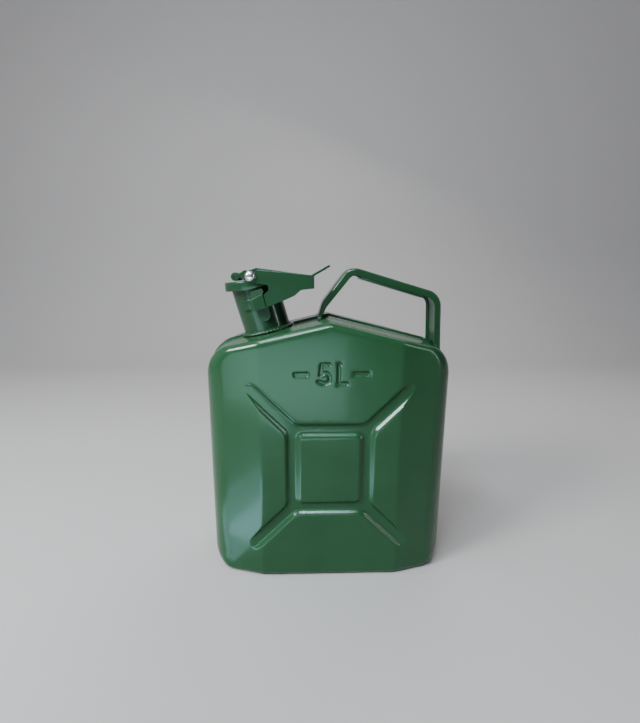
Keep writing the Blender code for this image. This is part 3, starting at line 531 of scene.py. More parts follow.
@dataclass
class Outline:
    """Seam outline: flat floor, upright sides, round shoulders and a roof."""

    half_width: float = mm(120.0)
    foot_radius: float = mm(22.0)
    shoulder_radius: float = mm(33.0)
    apex: float = mm(259.5)
    slope: float = math.radians(13.8)
    across: int = 104
    upright: int = 104

    @property
    def shoulder_x(self) -> float:
        """Return x of the shoulder's centre."""
        return self.half_width - self.shoulder_radius

    @property
    def shoulder_z(self) -> float:
        """Return the height of the shoulder's centre."""
        return self.apex - (self.shoulder_radius + self.shoulder_x * math.sin(self.slope)) / math.cos(self.slope)

    @property
    def tangent_x(self) -> float:
        """Return x where the shoulder runs into the roof."""
        return self.shoulder_x + self.shoulder_radius * math.sin(self.slope)

    def roof(self, x: float) -> float:
        """Return the roof's height at x."""
        return self.apex - abs(x) * math.tan(self.slope)

    def lengths(self) -> list[float]:
        """Return the lengths of floor, foot, side, shoulder and roof, on one half."""
        return [self.half_width - self.foot_radius, self.foot_radius * QUARTER, self.shoulder_z - self.foot_radius,
                self.shoulder_radius * (QUARTER - self.slope), self.tangent_x / math.cos(self.slope)]

    def bend_slot(self, radius: float, centre_z: float, turn: float, low: float) -> Slot:
        """Return the slot on a foot or a shoulder, at an angle over the level."""
        return Slot(self.half_width - radius * (1 - math.cos(turn)), centre_z + radius * math.sin(turn),
                    -math.cos(turn), -math.sin(turn), math.cos(turn) ** 2, low)

    def slot(self, run: float) -> Slot:
        """Return the slot a distance along the right half from the floor's middle; the left half mirrors it.

        Args:
            run: The distance; negative or past the apex, it is on the left half.

        Returns:
            The slot there.
        """
        floor, foot, side, shoulder, roof = self.lengths()
        total = floor + foot + side + shoulder + roof
        if run < 0 or run > total:
            return self.slot(-run if run < 0 else 2 * total - run).mirrored()
        if run <= floor:
            return Slot(run, 0.0, 0.0, 1.0, 0.0, 1.0)
        run -= floor
        if run <= foot:
            return self.bend_slot(self.foot_radius, self.foot_radius, run / self.foot_radius - QUARTER, 1.0)
        run -= foot
        if run <= side:
            return Slot(self.half_width, self.foot_radius + run, -1.0, 0.0, 1.0, 1 - run / side)
        run -= side
        if run <= shoulder:
            return self.bend_slot(self.shoulder_radius, self.shoulder_z, run / self.shoulder_radius, 0.0)
        share = (run - shoulder) / roof
        x = roof * math.cos(self.slope) * (1 - share)
        return Slot(x, self.roof(x), blend(-math.sin(self.slope), 0.0, share),
                    blend(-math.cos(self.slope), -1 / math.cos(self.slope), share), math.sin(self.slope) ** 2, 0.0)

    def loop(self) -> list[Slot]:
        """Return slots counter-clockwise from the middle of the lower left foot."""
        floor, foot, side, shoulder, roof = self.lengths()
        low, high = floor + foot / 2, floor + foot + side + shoulder / 2
        over = 2 * (floor + foot + side + shoulder + roof) - high
        spans = ((-low, low, self.across), (low, high, self.upright), (high, over, self.across))
        right = [self.slot(blend(start, end, step / count)) for start, end, count in spans for step in range(count)]
        return right + [self.slot(blend(high, low, step / self.upright)).mirrored() for step in range(self.upright)]

    def ring(self, inset: float, lift: float, depth: float) -> list[Place]:
        """Return a ring round the can: inset from the seam outline, its floor lifted, at a depth."""
        return [(slot.x + slot.move_x * inset, depth, slot.z + slot.move_z * inset + slot.low * lift)
                for slot in self.loop()]


# The capacity mark's strokes, in millimetres: how much wider than the rest each is, and its middle line.
BOWL = arc((-5.7, 207.4), 5.0, math.radians(138), math.radians(-128), 12)
STROKES = ((0.75, ((-32.3, 210.9), (-21.9, 210.9))),
           (0.1, ((-1.2, 220.3), (-8.2, 220.3), (-9.6, 211.2), *BOWL, (-11.2, 204.2))),
           (0.1, ((8.4, 220.4), (7.3, 220.2), (7.3, 202.2), (15.0, 202.2))),
           (0.3, ((22.1, 211.8), (34.0, 211.8))))


@dataclass
class Pressing:
    """The panel's pressed form: creases, channel, raised plate and the capacity mark."""

    half_depth: float = mm(59.0)
    crease: float = mm(66.2)
    crease_width: float = mm(1.6)
    wing_slope: float = math.radians(15.0)
    depth: float = mm(3.4)
    wall_run: float = mm(3.4)
    wall_round: float = 0.12
    half_width: float = mm(39.4)
    bottom: float = mm(72.5)
    top: float = mm(160.7)
    corner: float = mm(4.0)
    margin: float = mm(6.4)
    plate_run: float = mm(4.8)
    plate_corner: float = mm(8.0)
    arm_width: float = mm(8.6)
    arm_length: float = mm(60.0)
    arm_angle: float = math.radians(45.0)
    edge_width: float = mm(0.5)
    least_width: float = mm(0.001)
    mark_depth: float = mm(1.45)
    mark_floor: float = mm(0.95)
    mark_run: float = mm(1.25)
    mark_half: float = mm(38.0)
    mark_low: float = mm(196.0)
    mark_high: float = mm(226.0)
    waviness: float = mm(0.10)
    wave_x: float = mm(31.0)
    wave_z: float = mm(43.0)
    wave_start: Point = (1.3, 0.4)

    def box_distance(self, x: float, z: float, shrink: float, corner: float) -> float:
        """Return the distance to the frame's rounded outline, shrunk; negative inside it.

        Args:
            x: Place along the can.
            z: Height.
            shrink: How far the outline is drawn in.
            corner: Its corners' radius.

        Returns:
            The distance.
        """
        over_x = abs(x) - (self.half_width - shrink - corner)
        over_z = abs(z - (self.bottom + self.top) / 2) - ((self.top - self.bottom) / 2 - shrink - corner)
        outside = math.hypot(max(over_x, 0.0), max(over_z, 0.0))
        return outside + min(max(over_x, over_z), 0.0) - corner

    def arm_distance(self, x: float, z: float) -> float:
        """Return the distance to the nearest arm's edge; negative inside it.

        Args:
            x: Place along the can.
            z: Height.

        Returns:
            The distance.
        """
        away_x = abs(x) - (self.half_width - self.margin / 2)
        away_z = abs(z - (self.bottom + self.top) / 2) - ((self.top - self.bottom) / 2 - self.margin / 2)
        along = away_x * math.cos(self.arm_angle) + away_z * math.sin(self.arm_angle)
        across = away_z * math.cos(self.arm_angle) - away_x * math.sin(self.arm_angle)
        past = along - min(max(along, 0.0), self.arm_length - self.arm_width / 2)
        return math.hypot(past, across) - self.arm_width / 2

    def channel(self, x: float, z: float) -> float:
        """Return how high the pressed channel's surface stands over its floor.

        Args:
            x: Place along the can.
            z: Height.

        Returns:
            The height.
        """
        outer = -soft_max(-self.box_distance(x, z, 0.0, self.corner), -self.arm_distance(x, z), self.corner)
        plate = -self.box_distance(x, z, self.margin, self.plate_corner)
        return self.depth * max(eased(outer / self.wall_run, self.wall_round),
                                eased(plate / self.plate_run, self.wall_round))

    def mark(self, x: float, z: float) -> float:
        """Return how deep the capacity mark is pressed in.

        Args:
            x: Place along the can.
            z: Height.

        Returns:
            The depth.
        """
        if abs(x) > self.mark_half or not self.mark_low < z < self.mark_high:
            return 0.0
        point = (x / mm(1), z / mm(1))
        nearest = mm(min(segment_distance(point, first, last) - wider
                         for wider, line in STROKES for first, last in zip(line, line[1:])))
        return self.mark_depth * (1 - eased((nearest - self.mark_floor) / self.mark_run, self.wall_round))

    def wing(self, x: float) -> float:
        """Return how far the panel slopes back at x, with a soft crease."""
        return soft_max(abs(x) - self.crease, 0.0, self.crease_width) * math.tan(self.wing_slope)

    def surface(self, x: float, z: float, marked: bool) -> float:
        """Return the panel's distance from the seam plane.

        Args:
            x: Place along the can.
            z: Height.
            marked: Whether the panel carries the capacity mark.

        Returns:
            A depth in metres, positive on either side.
        """
        plain = self.half_depth - self.wing(x)
        floor = self.half_depth - self.depth + self.channel(x, z)
        width = min(self.edge_width, max((self.half_depth - plain) / 2, self.least_width))
        plain = -soft_max(-plain, -floor, width)
        start_x, start_z = self.wave_start
        plain -= self.waviness * (math.sin(x / self.wave_x + start_x) * math.sin(z / self.wave_z + start_z) + 1) / 2
        return plain - (self.mark(x, z) if marked else 0.0)


@dataclass
class Stand:
    """Where the neck, the lid, the lever and the hinge sit on the can."""

    outline: Outline
    foot_x: float = mm(-61.8)
    lean: float = math.radians(16.0)
    neck_radius: float = mm(23.3)
    mouth_rise: float = mm(45.1)
    lid_tilt: float = math.radians(5.0)
    lid_top: float = mm(6.8)
    pivot_x: float = mm(0.7)
    pivot_rise: float = mm(10.7)
    lever_tilt: float = math.radians(7.2)
    hinge_offset: float = mm(30.9)
    hinge_rise: float = mm(30.4)
    beak: Point = (mm(12.7), mm(-3.9))

    def on_roof(self, turn: float) -> Matrix:
        """Return a frame on the roof where the neck's axis meets it."""
        return frame_at(self.foot_x, self.outline.roof(self.foot_x), turn)

    def roof(self) -> Matrix:
        """Return the frame on the roof under the neck, square to the roof."""
        return self.on_roof(-self.outline.slope)

    def neck(self) -> Matrix:
        """Return the frame on the neck's axis where it meets the roof."""
        return self.on_roof(-self.lean)

    def mouth(self) -> Matrix:
        """Return the frame in the middle of the mouth, tilted as the lid is."""
        centre = self.neck() @ Vector((0.0, 0.0, self.mouth_rise))
        return frame_at(centre.x, centre.z, -self.lid_tilt)

    def lever(self) -> Matrix:
        """Return the frame on the lever's pivot, along its web."""
        pivot = self.mouth() @ Vector((self.pivot_x, 0.0, self.pivot_rise))
        return frame_at(pivot.x, pivot.z, self.lever_tilt)

    def hinge(self) -> Matrix:
        """Return the frame on the hinge pin."""
        pin = self.neck() @ Vector((self.hinge_offset, 0.0, self.hinge_rise))
        return frame_at(pin.x, pin.z, -self.lid_tilt)

    def pivot(self) -> Matrix:
        """Return the frame on the pivot, whose Z axis points at the front."""
        return self.mouth() @ Matrix.Translation((self.pivot_x, 0.0, self.pivot_rise)) @ CROSSWAYS


@dataclass
class CanBody:
    """Two pressed half shells, and the weld that joins their flanges."""

    outline: Outline
    pressing: Pressing
    stand: Stand
    wall: float = mm(1.0)
    rim_radius: float = mm(6.0)
    side_rim_radius: float = mm(19.0)
    rim_steps: int = 12
    draft: float = mm(0.8)
    seam_gap: float = mm(0.15)
    flange_height: float = mm(1.2)
    flange_thickness: float = mm(1.1)
    crown_width: float = 0.85
    crown_start: float = 0.8
    groove_depth: float = mm(3.6)
    groove_half_width: float = mm(6.0)
    groove_ramp: float = mm(4.0)
    groove_steps: int = 5
    bead_gap: float = mm(0.1)
    bead_half_width: float = mm(1.4)
    bead_height: float = mm(1.0)
    bead_fineness: int = 7
    bead_steps: int = 8
    ripple_pitch: float = mm(2.3)
    ripple_drift: float = mm(9.0)
    ripple_sway: float = 0.6
    ripple_depth: float = mm(0.35)
    clearance: float = mm(0.3)
    ring_radius: float = mm(27.0)
    ring_low: float = mm(0.1)
    panel_limits: Point = (mm(0.02), mm(0.22))
    mark_limits: Point = (mm(0.03), mm(0.15))

    def rim_ring(self, side: Side, share: float) -> list[Place]:
        """Return one ring of the rounded rim, from the side wall (share 0) to the panel (share 1).

        Args:
            side: Which half.
            share: How far up the rim.

        Returns:
            The ring's points.
        """
        turn = share * QUARTER
        ring = []
        for slot in self.outline.loop():
            radius = blend(self.rim_radius, self.side_rim_radius, slot.sideways)
            inward = self.draft + radius * (1 - math.cos(turn))
            x, z = slot.x + slot.move_x * inward, slot.z + slot.move_z * inward - slot.low * self.draft
            ring.append((x, side.value * (self.pressing.surface(x, z, False) - radius * (1 - math.sin(turn))), z))
        return ring

    def wall_rings(self, side: Side) -> list[list[Place]]:
        """Return the rings from the panel's edge down to the seam.

        Args:
            side: Which half.

        Returns:
            The rings, outermost first.
        """
        rings = [self.rim_ring(side, step / self.rim_steps) for step in reversed(range(self.rim_steps))]
        for step in range(self.groove_steps + 1):
            share = step / self.groove_steps
            lift = blend(-self.draft, self.groove_depth, smooth(share))
            depth = blend(self.groove_half_width + self.groove_ramp, self.groove_half_width, share)
            rings.append(self.outline.ring(self.draft * (1 - smooth(share)), lift, side.value * depth))
        return rings + [self.outline.ring(0.0, self.groove_depth, side.value * self.seam_gap)]

    def panel_grid(self, side: Side) -> Mesh:
        """Return the pressed panel: a grid stretched to its rounded edge, and finer where it is pressed.

        Args:
            side: Which panel.

        Returns:
            A mesh whose edge vertices carry their slot's number, from 1.
        """
        across, upright = self.outline.across, self.outline.upright
        edge = [Vector(point) for point in self.rim_ring(side, 1.0)]
        bm = bmesh.new()
        bmesh.ops.create_grid(bm, x_segments=across, y_segments=upright, size=1.0)
        place = bm.verts.layers.int.new("slot")
        corners = [edge[index] for index in (0, across, across + upright, 2 * across + upright)]
        for index, vert in enumerate(bm.verts):
            row, column = divmod(index, across + 1)
            u, v = column / across, row / upright
            slots = (column, across + row, 2 * across + upright - column, 2 * across + 2 * upright - row)
            low, right, high, left = (edge[slot % len(edge)] for slot in slots)
            vert.co = (low * (1 - v) + high * v + left * (1 - u) + right * u
                       - corners[0] * (1 - u) * (1 - v) - corners[1] * u * (1 - v)
                       - corners[2] * u * v - corners[3] * (1 - u) * v)
            on_edge = {0: slots[0], upright: slots[2]}.get(row, {0: slots[3], across: slots[1]}.get(column))
            vert[place] = 0 if on_edge is None else on_edge % len(edge) + 1
        marked = side is Side.FRONT
        refine(bm, lambda x, z: self.pressing.surface(x, z, marked), 2, self.panel_limits)
        refine(bm, self.pressing.mark, 1, self.mark_limits)
        for vert in (vert for vert in bm.verts if not vert.is_boundary):
            vert.co.y = side.value * self.pressing.surface(vert.co.x, vert.co.z, marked)
        return bm

    def flange(self, side: Side) -> Piece:
        """Return the flange along the seam: a thin strip standing out of the side wall.

        Args:
            side: Which half.

        Returns:
            The strip.
        """
        inner, outer, thick = -self.wall / 2, self.flange_height, self.flange_thickness
        section = ((inner, self.seam_gap), (outer, self.seam_gap), (outer, thick * self.crown_start),
                   (outer * self.crown_width, thick), (inner, thick))
        rows = [self.outline.ring(-out, self.groove_depth, side.value * depth) for out, depth in section]
        rings = [list(ring) for ring in zip(*rows)]
        strip = finished("flange", draped(rings + rings[:1]))
        cut_away(strip, self.ring_cut())
        return strip

    def ring_cut(self) -> Piece:
        """Return the cutter that clears flange and bead under the neck's weld ring."""
        return post(self.stand.roof(), self.ring_radius, self.ring_low, self.stand.mouth_rise)

    def shell(self, side: Side) -> Piece:
        """Build one half shell with its neck hole.

        Args:
            side: Which half.

        Returns:
            The piece.
        """
        bm = self.panel_grid(side)
        place = bm.verts.layers.int["slot"]
        edges = [edge for edge in bm.edges if edge.is_boundary]
        for ring in self.wall_rings(side):
            grown = bmesh.ops.extrude_edge_only(bm, edges=edges)["geom"]
            for vert in (item for item in grown if isinstance(item, bmesh.types.BMVert)):
                vert.co = ring[vert[place] - 1]
            edges = [item for item in grown if isinstance(item, bmesh.types.BMEdge) and item.is_boundary]
        piece = finished(side.word + "_shell_fine", bm)
        sheet = piece.modifiers.new("wall", "SOLIDIFY")
        sheet.thickness, sheet.offset = self.wall, -1.0
        baked(piece)
        cut_away(piece, post(self.stand.neck(), self.stand.neck_radius + self.clearance, -self.ring_radius,
                             self.stand.mouth_rise))
        joined(piece, self.flange(side))
        return piece

    def bead(self) -> Piece:
        """Build the rippled weld bead along the flanges."""
        fine = self.bead_fineness
        loop = Outline(across=self.outline.across * fine, upright=self.outline.upright * fine).loop()
        low = self.flange_height + self.bead_gap
        rings = []
        run = 0.0
        for before, slot in zip(loop[-1:] + loop[:-1], loop):
            run += math.hypot(slot.x - before.x, slot.z - before.z)
            sway = self.ripple_sway * math.sin(run / self.ripple_drift)
            wave = abs(math.sin(math.pi * run / self.ripple_pitch + sway))
            height = self.bead_height - self.ripple_depth * (1 - wave)
            width = self.bead_half_width - self.ripple_depth * (1 - wave) / 2
            rings.append([(slot.x - slot.move_x * (low + height * up), width * across,
                           slot.z - slot.move_z * (low + height * up) + slot.low * self.groove_depth)
                          for across, up in arc((0.0, 0.0), 1.0, 0.0, math.pi, self.bead_steps)])
        piece = finished("seam_weld_fine", draped(rings + rings[:1]), sharp=STEEP)
        cut_away(piece, self.ring_cut())
        return piece


# Filler neck.

# The weld ring's section, as shares of its width and its height.
RING_SECTION = ((0.0, 0.0), (1.0, 0.0), (0.98, 0.22), (0.82, 0.52), (0.55, 0.78), (0.30, 0.94), (0.12, 1.0),
                (0.0, 1.0))

# A lug's outline, from its foot up. Each row says which level, left edge and right edge it is measured from,
# and how many millimetres off each it lies.
LUG_ROWS = ((0, 0.0, 0, 0.8, 0, -1.0), (0, 0.5, 0, 0.2, 0, -0.4), (0, 1.2, 0, 0.0, 0, -0.2),
            (1, -0.8, 0, 0.0, 0, 0.1), (1, 1.2, 1, -0.8, 0, 0.1), (2, -2.4, 1, -0.1, 0, 0.2),
            (2, -0.8, 1, 0.2, 1, -1.8), (2, 0.0, 1, 0.4, 1, -1.7), (3, -0.8, 1, 0.9, 1, -2.1),
            (3, 0.0, 1, 1.8, 1, -2.9))


@dataclass
class Neck:
    """Filler neck with its weld ring, seat, breather tube, hinge bracket and latch lugs."""

    stand: Stand
    wall: float = mm(1.2)
    tuck: float = mm(4.0)
    ring_width: float = mm(3.4)
    ring_height: float = mm(3.0)
    ripple_count: int = 46
    ripple_steps: int = 8
    ripple_depth: float = mm(0.28)
    ripple_share: float = 1.6
    ripple_drift: float = 0.8
    ring_swell: float = 0.06
    seat_inner: float = mm(22.1)
    seat_outer: float = mm(25.0)
    seat_height: float = mm(2.5)
    clearance: float = mm(0.3)
    band_sheet: float = mm(1.6)
    band_bottom: float = mm(25.2)
    band_top: float = mm(35.2)
    band_half_angle: float = math.radians(126.0)
    band_corner: float = mm(2.4)
    band_steps: int = 120
    strap_half_width: float = mm(12.0)
    ear_wall: float = mm(2.0)
    ear_radius: float = mm(4.0)
    ear_edge: float = mm(0.35)
    pin_radius: float = mm(2.2)
    head_radius: float = mm(3.4)
    head_height: float = mm(1.4)
    head_flat: float = 0.25
    lug_sheet: float = mm(1.8)
    lug_edge: float = mm(0.6)
    lug_left: float = mm(-5.6)
    lug_right: float = mm(8.5)
    crease_step: float = mm(0.9)
    crease_run: float = mm(1.3)
    lug_bottom: float = mm(24.0)
    lug_grid: tuple[int, int] = (72, 40)
    joggle_start: float = mm(-5.6)
    joggle_run: float = mm(2.4)
    crease_left: float = mm(33.7)
    crease_right: float = mm(36.2)
    crease_round: float = mm(0.9)
    nose_depth: float = mm(30.8)
    nose_left: float = mm(-2.6)
    nose_lean: float = math.radians(17.0)
    nose_rise: float = mm(2.8)
    tongue_radius: float = mm(6.1)
    tongue_x: float = mm(4.0)
    tongue_drop: float = mm(12.4)
    tongue_edge: float = mm(0.4)
    tongue_grid: tuple[int, int] = (24, 16)
    vent_radius: float = mm(4.0)
    vent_wall: float = mm(0.8)
    vent_below_mouth: float = mm(9.0)
    vent_drop: float = mm(7.0)
    vent_bend: float = mm(11.0)
    vent_turn: float = math.radians(80.0)
    vent_tail: float = mm(14.0)
    steps: int = 128

    def tube(self) -> Piece:
        """Build the neck's tube, cut along the mouth."""
        outer, bore, edge = self.stand.neck_radius, self.stand.neck_radius - self.wall, self.wall / 4
        slope = math.tan(self.stand.lean - self.stand.lid_tilt)
        rows = ((outer, None), (outer, edge), (outer - edge, 0.0), (bore + edge, 0.0), (bore, edge), (bore, None))
        rings = [[(x, y, -self.tuck if drop is None else self.stand.mouth_rise - x * slope - drop)
                  for x, y in circle(radius, self.steps)] for radius, drop in rows]
        return finished("neck_tube_fine", draped(rings + rings[:1]), self.stand.neck())

    def weld_ring(self) -> Piece:
        """Build the rippled weld fillet between neck and roof."""
        inner = self.stand.neck_radius - self.wall / 4
        count = self.ripple_count * self.ripple_steps
        rings = []
        for turn in (math.tau * step / count for step in range(count)):
            wave = abs(math.sin(turn * self.ripple_count / 2 + self.ripple_drift * math.sin(3 * turn)))
            size = 1 - self.ripple_depth / self.ring_width * (1 - wave) * self.ripple_share
            swell = 1 - self.ring_swell * (1 + math.sin(5 * turn + 1.0))
            width = (self.ring_width + self.wall / 4) * size * swell
            rings.append([((inner + width * out) * math.cos(turn), (inner + width * out) * math.sin(turn),
                           self.clearance + self.ring_height * up * size) for out, up in RING_SECTION])
        return finished("neck_weld_fine", draped(rings + rings[:1]), self.stand.roof(), STEEP)

    def seat(self) -> Piece:
        """Build the ring that the gasket closes on."""
        inner, outer, low, edge = self.seat_inner, self.seat_outer, self.clearance, self.seat_height / 4
        high = low + self.seat_height
        profile = [(inner, low), (outer, low), *bend(outer - edge, high - edge, edge, 0, 4),
                   ((inner + outer) / 2, high), *bend(inner + edge, high - edge, edge, 1, 4)]
        return finished("mouth_ring_fine", turned(profile, self.steps), self.stand.mouth())

    def vent(self) -> Piece:
        """Build the breather tube inside the neck."""
        side = self.stand.neck_radius - self.wall - self.clearance - self.vent_radius
        turn_z = -self.tuck - self.vent_drop
        path = [(side, self.stand.mouth_rise - self.vent_below_mouth), (side, turn_z / 2),
                *arc((side + self.vent_bend, turn_z), self.vent_bend, math.pi, math.pi + self.vent_turn, 16)]
        path = [Vector(point) for point in path]
        path.append(path[-1] + (path[-1] - path[-2]).normalized() * self.vent_tail)
        outer, inner = (path_rings(path, circle(radius, 32))
                        for radius in (self.vent_radius, self.vent_radius - self.vent_wall))
        return finished("vent_tube_fine", draped(outer + inner[::-1] + outer[:1]), self.stand.neck())

    def bracket(self) -> Piece:
        """Build the band round the neck, with the hinge's two ears."""
        inner = self.stand.neck_radius + self.clearance / 3
        outer = self.stand.neck_radius + self.clearance + self.band_sheet
        edge = self.band_sheet / 2
        rings = []
        for step in range(self.band_steps + 1):
            turn = blend(-self.band_half_angle, self.band_half_angle, step / self.band_steps)
            cut = inset_of(self.band_corner, self.band_corner - (self.band_half_angle - abs(turn)) * outer)
            low, high = self.band_bottom + cut, self.band_top - cut
            profile = [(inner, low), *bend(outer - edge, low + edge, edge, -1, 6),
                       *bend(outer - edge, high - edge, edge, 0, 6), (inner, high)]
            rings.append([(radius * math.cos(turn), radius * math.sin(turn), z) for radius, z in profile])
        band = finished("neck_bracket_fine", draped(rings, caps=True), self.stand.neck())
        near = self.strap_half_width + self.clearance
        root = self.stand.neck_radius + self.band_sheet / 2
        root_x, rise = root * math.cos(math.asin(near / root)), self.stand.hinge_rise
        for side in Side:
            ear = [(root_x, rise - self.ear_radius),
                   *arc((self.stand.hinge_offset, rise), self.ear_radius, -QUARTER, QUARTER, 20),
                   (root_x, rise + self.ear_radius)]
            bm = extruded(ear, *sorted((side.value * near, side.value * (near + self.ear_wall))))
            soften(bm, self.ear_edge)
            joined(band, finished("ear", bm, self.stand.neck()))
        return band

    def pin(self) -> Piece:
        """Build the riveted hinge pin."""
        head = self.strap_half_width + self.ear_wall + 2 * self.clearance
        half = [(self.pin_radius, 0.0), (self.pin_radius, head), (self.head_radius, head)]
        half += [(self.head_radius * out, head + self.head_height * blend(self.head_flat, 1.0, up))
                 for out, up in bend(0.0, 0.0, 1.0, 0, 6)]
        profile = half + [(radius, -height) for radius, height in half[::-1]]
        return finished("hinge_pin_fine", turned(profile, 48), self.stand.hinge() @ CROSSWAYS)

    def lug(self, side: Side) -> Piece:
        """Build one latch lug: a plate on the band, bent out into the nose that the lever hooks under.

        Args:
            side: Which side of the neck.

        Returns:
            The piece.
        """
        tip_x, tip_z = carried(self.stand.mouth(), self.stand.neck(), self.stand.beak)
        levels = (self.lug_bottom, self.crease_left, tip_z, tip_z + self.nose_rise)
        lefts, rights = (self.lug_left, self.nose_left), (self.lug_right, tip_x)
        table = [(levels[level] + mm(up), lefts[left] + mm(inward), rights[right] + mm(outward))
                 for level, up, left, inward, right, outward in LUG_ROWS]
        count, columns = self.lug_grid
        rings = []
        for z in (blend(levels[0], levels[-1], row / count) for row in range(count + 1)):
            low, high = looked_up(table, z)
            rings.append([self.lug_point(side, blend(low, high, step / columns), z) for step in range(columns + 1)])
        return self.plate(f"latch_lug_{side.word}_fine", rings, self.lug_edge, self.tongue(side))

    def plate(self, name: str, rings: list[list[Place]], edge: float, more: Piece | None = None) -> Piece:
        """Build a sheet of the lugs' thickness on the neck.

        Args:
            name: The sheet's name.
            rings: Its rows of points.
            edge: How far its edges are rounded.
            more: What else is joined to it.

        Returns:
            The sheet.
        """
        piece = finished(name, draped(rings, loop=False), self.stand.neck())
        thicken(piece, self.lug_sheet, edge)
        if more:
            joined(piece, more)
        return piece

    def lug_point(self, side: Side, x: float, z: float) -> Place:
        """Return a point of a lug's sheet: joggled out from the band on the left, leaning in over the crease.

        Args:
            side: Which lug.
            x: Place across the neck's axis.
            z: Height along it.

        Returns:
            The point.
        """
        band = self.stand.neck_radius + self.band_sheet + 2 * self.clearance + self.lug_sheet / 2
        share = (x - self.nose_left) / (self.lug_right - self.nose_left)
        over = z - blend(self.crease_left, self.crease_right, share)
        depth = (self.nose_depth - soft_max(over, 0.0, self.crease_round) * math.tan(self.nose_lean)
                 - self.crease_step * smooth(over / self.crease_run))
        out = smooth((x - self.joggle_start) / self.joggle_run)
        return x, side.value * blend(math.sqrt(band ** 2 - x ** 2), depth, out), z

    def tongue(self, side: Side) -> Piece:
        """Return the flat rounded lobe under a lug, which touches the neck on its left.

        Args:
            side: Which lug.

        Returns:
            The lobe.
        """
        depth = side.value * (self.stand.neck_radius + self.clearance + self.lug_sheet / 2)
        low = self.lug_bottom - self.tongue_drop
        count, columns = self.tongue_grid
        offs = [blend(-1.0, 1.0, column / columns) * self.tongue_radius for column in range(columns + 1)]
        rings = [[(self.tongue_x + off, depth,
                   blend(low + inset_of(self.tongue_radius, abs(off)), self.band_bottom, row / count))
                  for off in offs] for row in range(count + 1)]
        return self.plate("tongue", rings, self.tongue_edge)


# Lid.

# The saddle's side, from its left foot on. Each row says which edge and which level it is measured from, how many
# millimetres off each it lies, and its corner's radius.
SADDLE_ROWS = ((0, 0.0, 0, 0.0, 0.3), (1, 0.0, 0, 0.0, 0.3), (1, 0.0, 1, 0.0, 0.9), (2, 0.0, 1, 1.2, 0.9),
               (2, 0.0, 2, 0.0, 1.4), (3, -3.0, 2, 0.0, 1.0), (3, -4.0, 3, 0.0, 0.8), (3, -5.5, 3, 0.0, 0.8),
               (4, 0.9, 2, -0.5, 1.2), (4, 0.4, 1, 0.6, 0.9), (0, 0.0, 1, 0.0, 0.9))


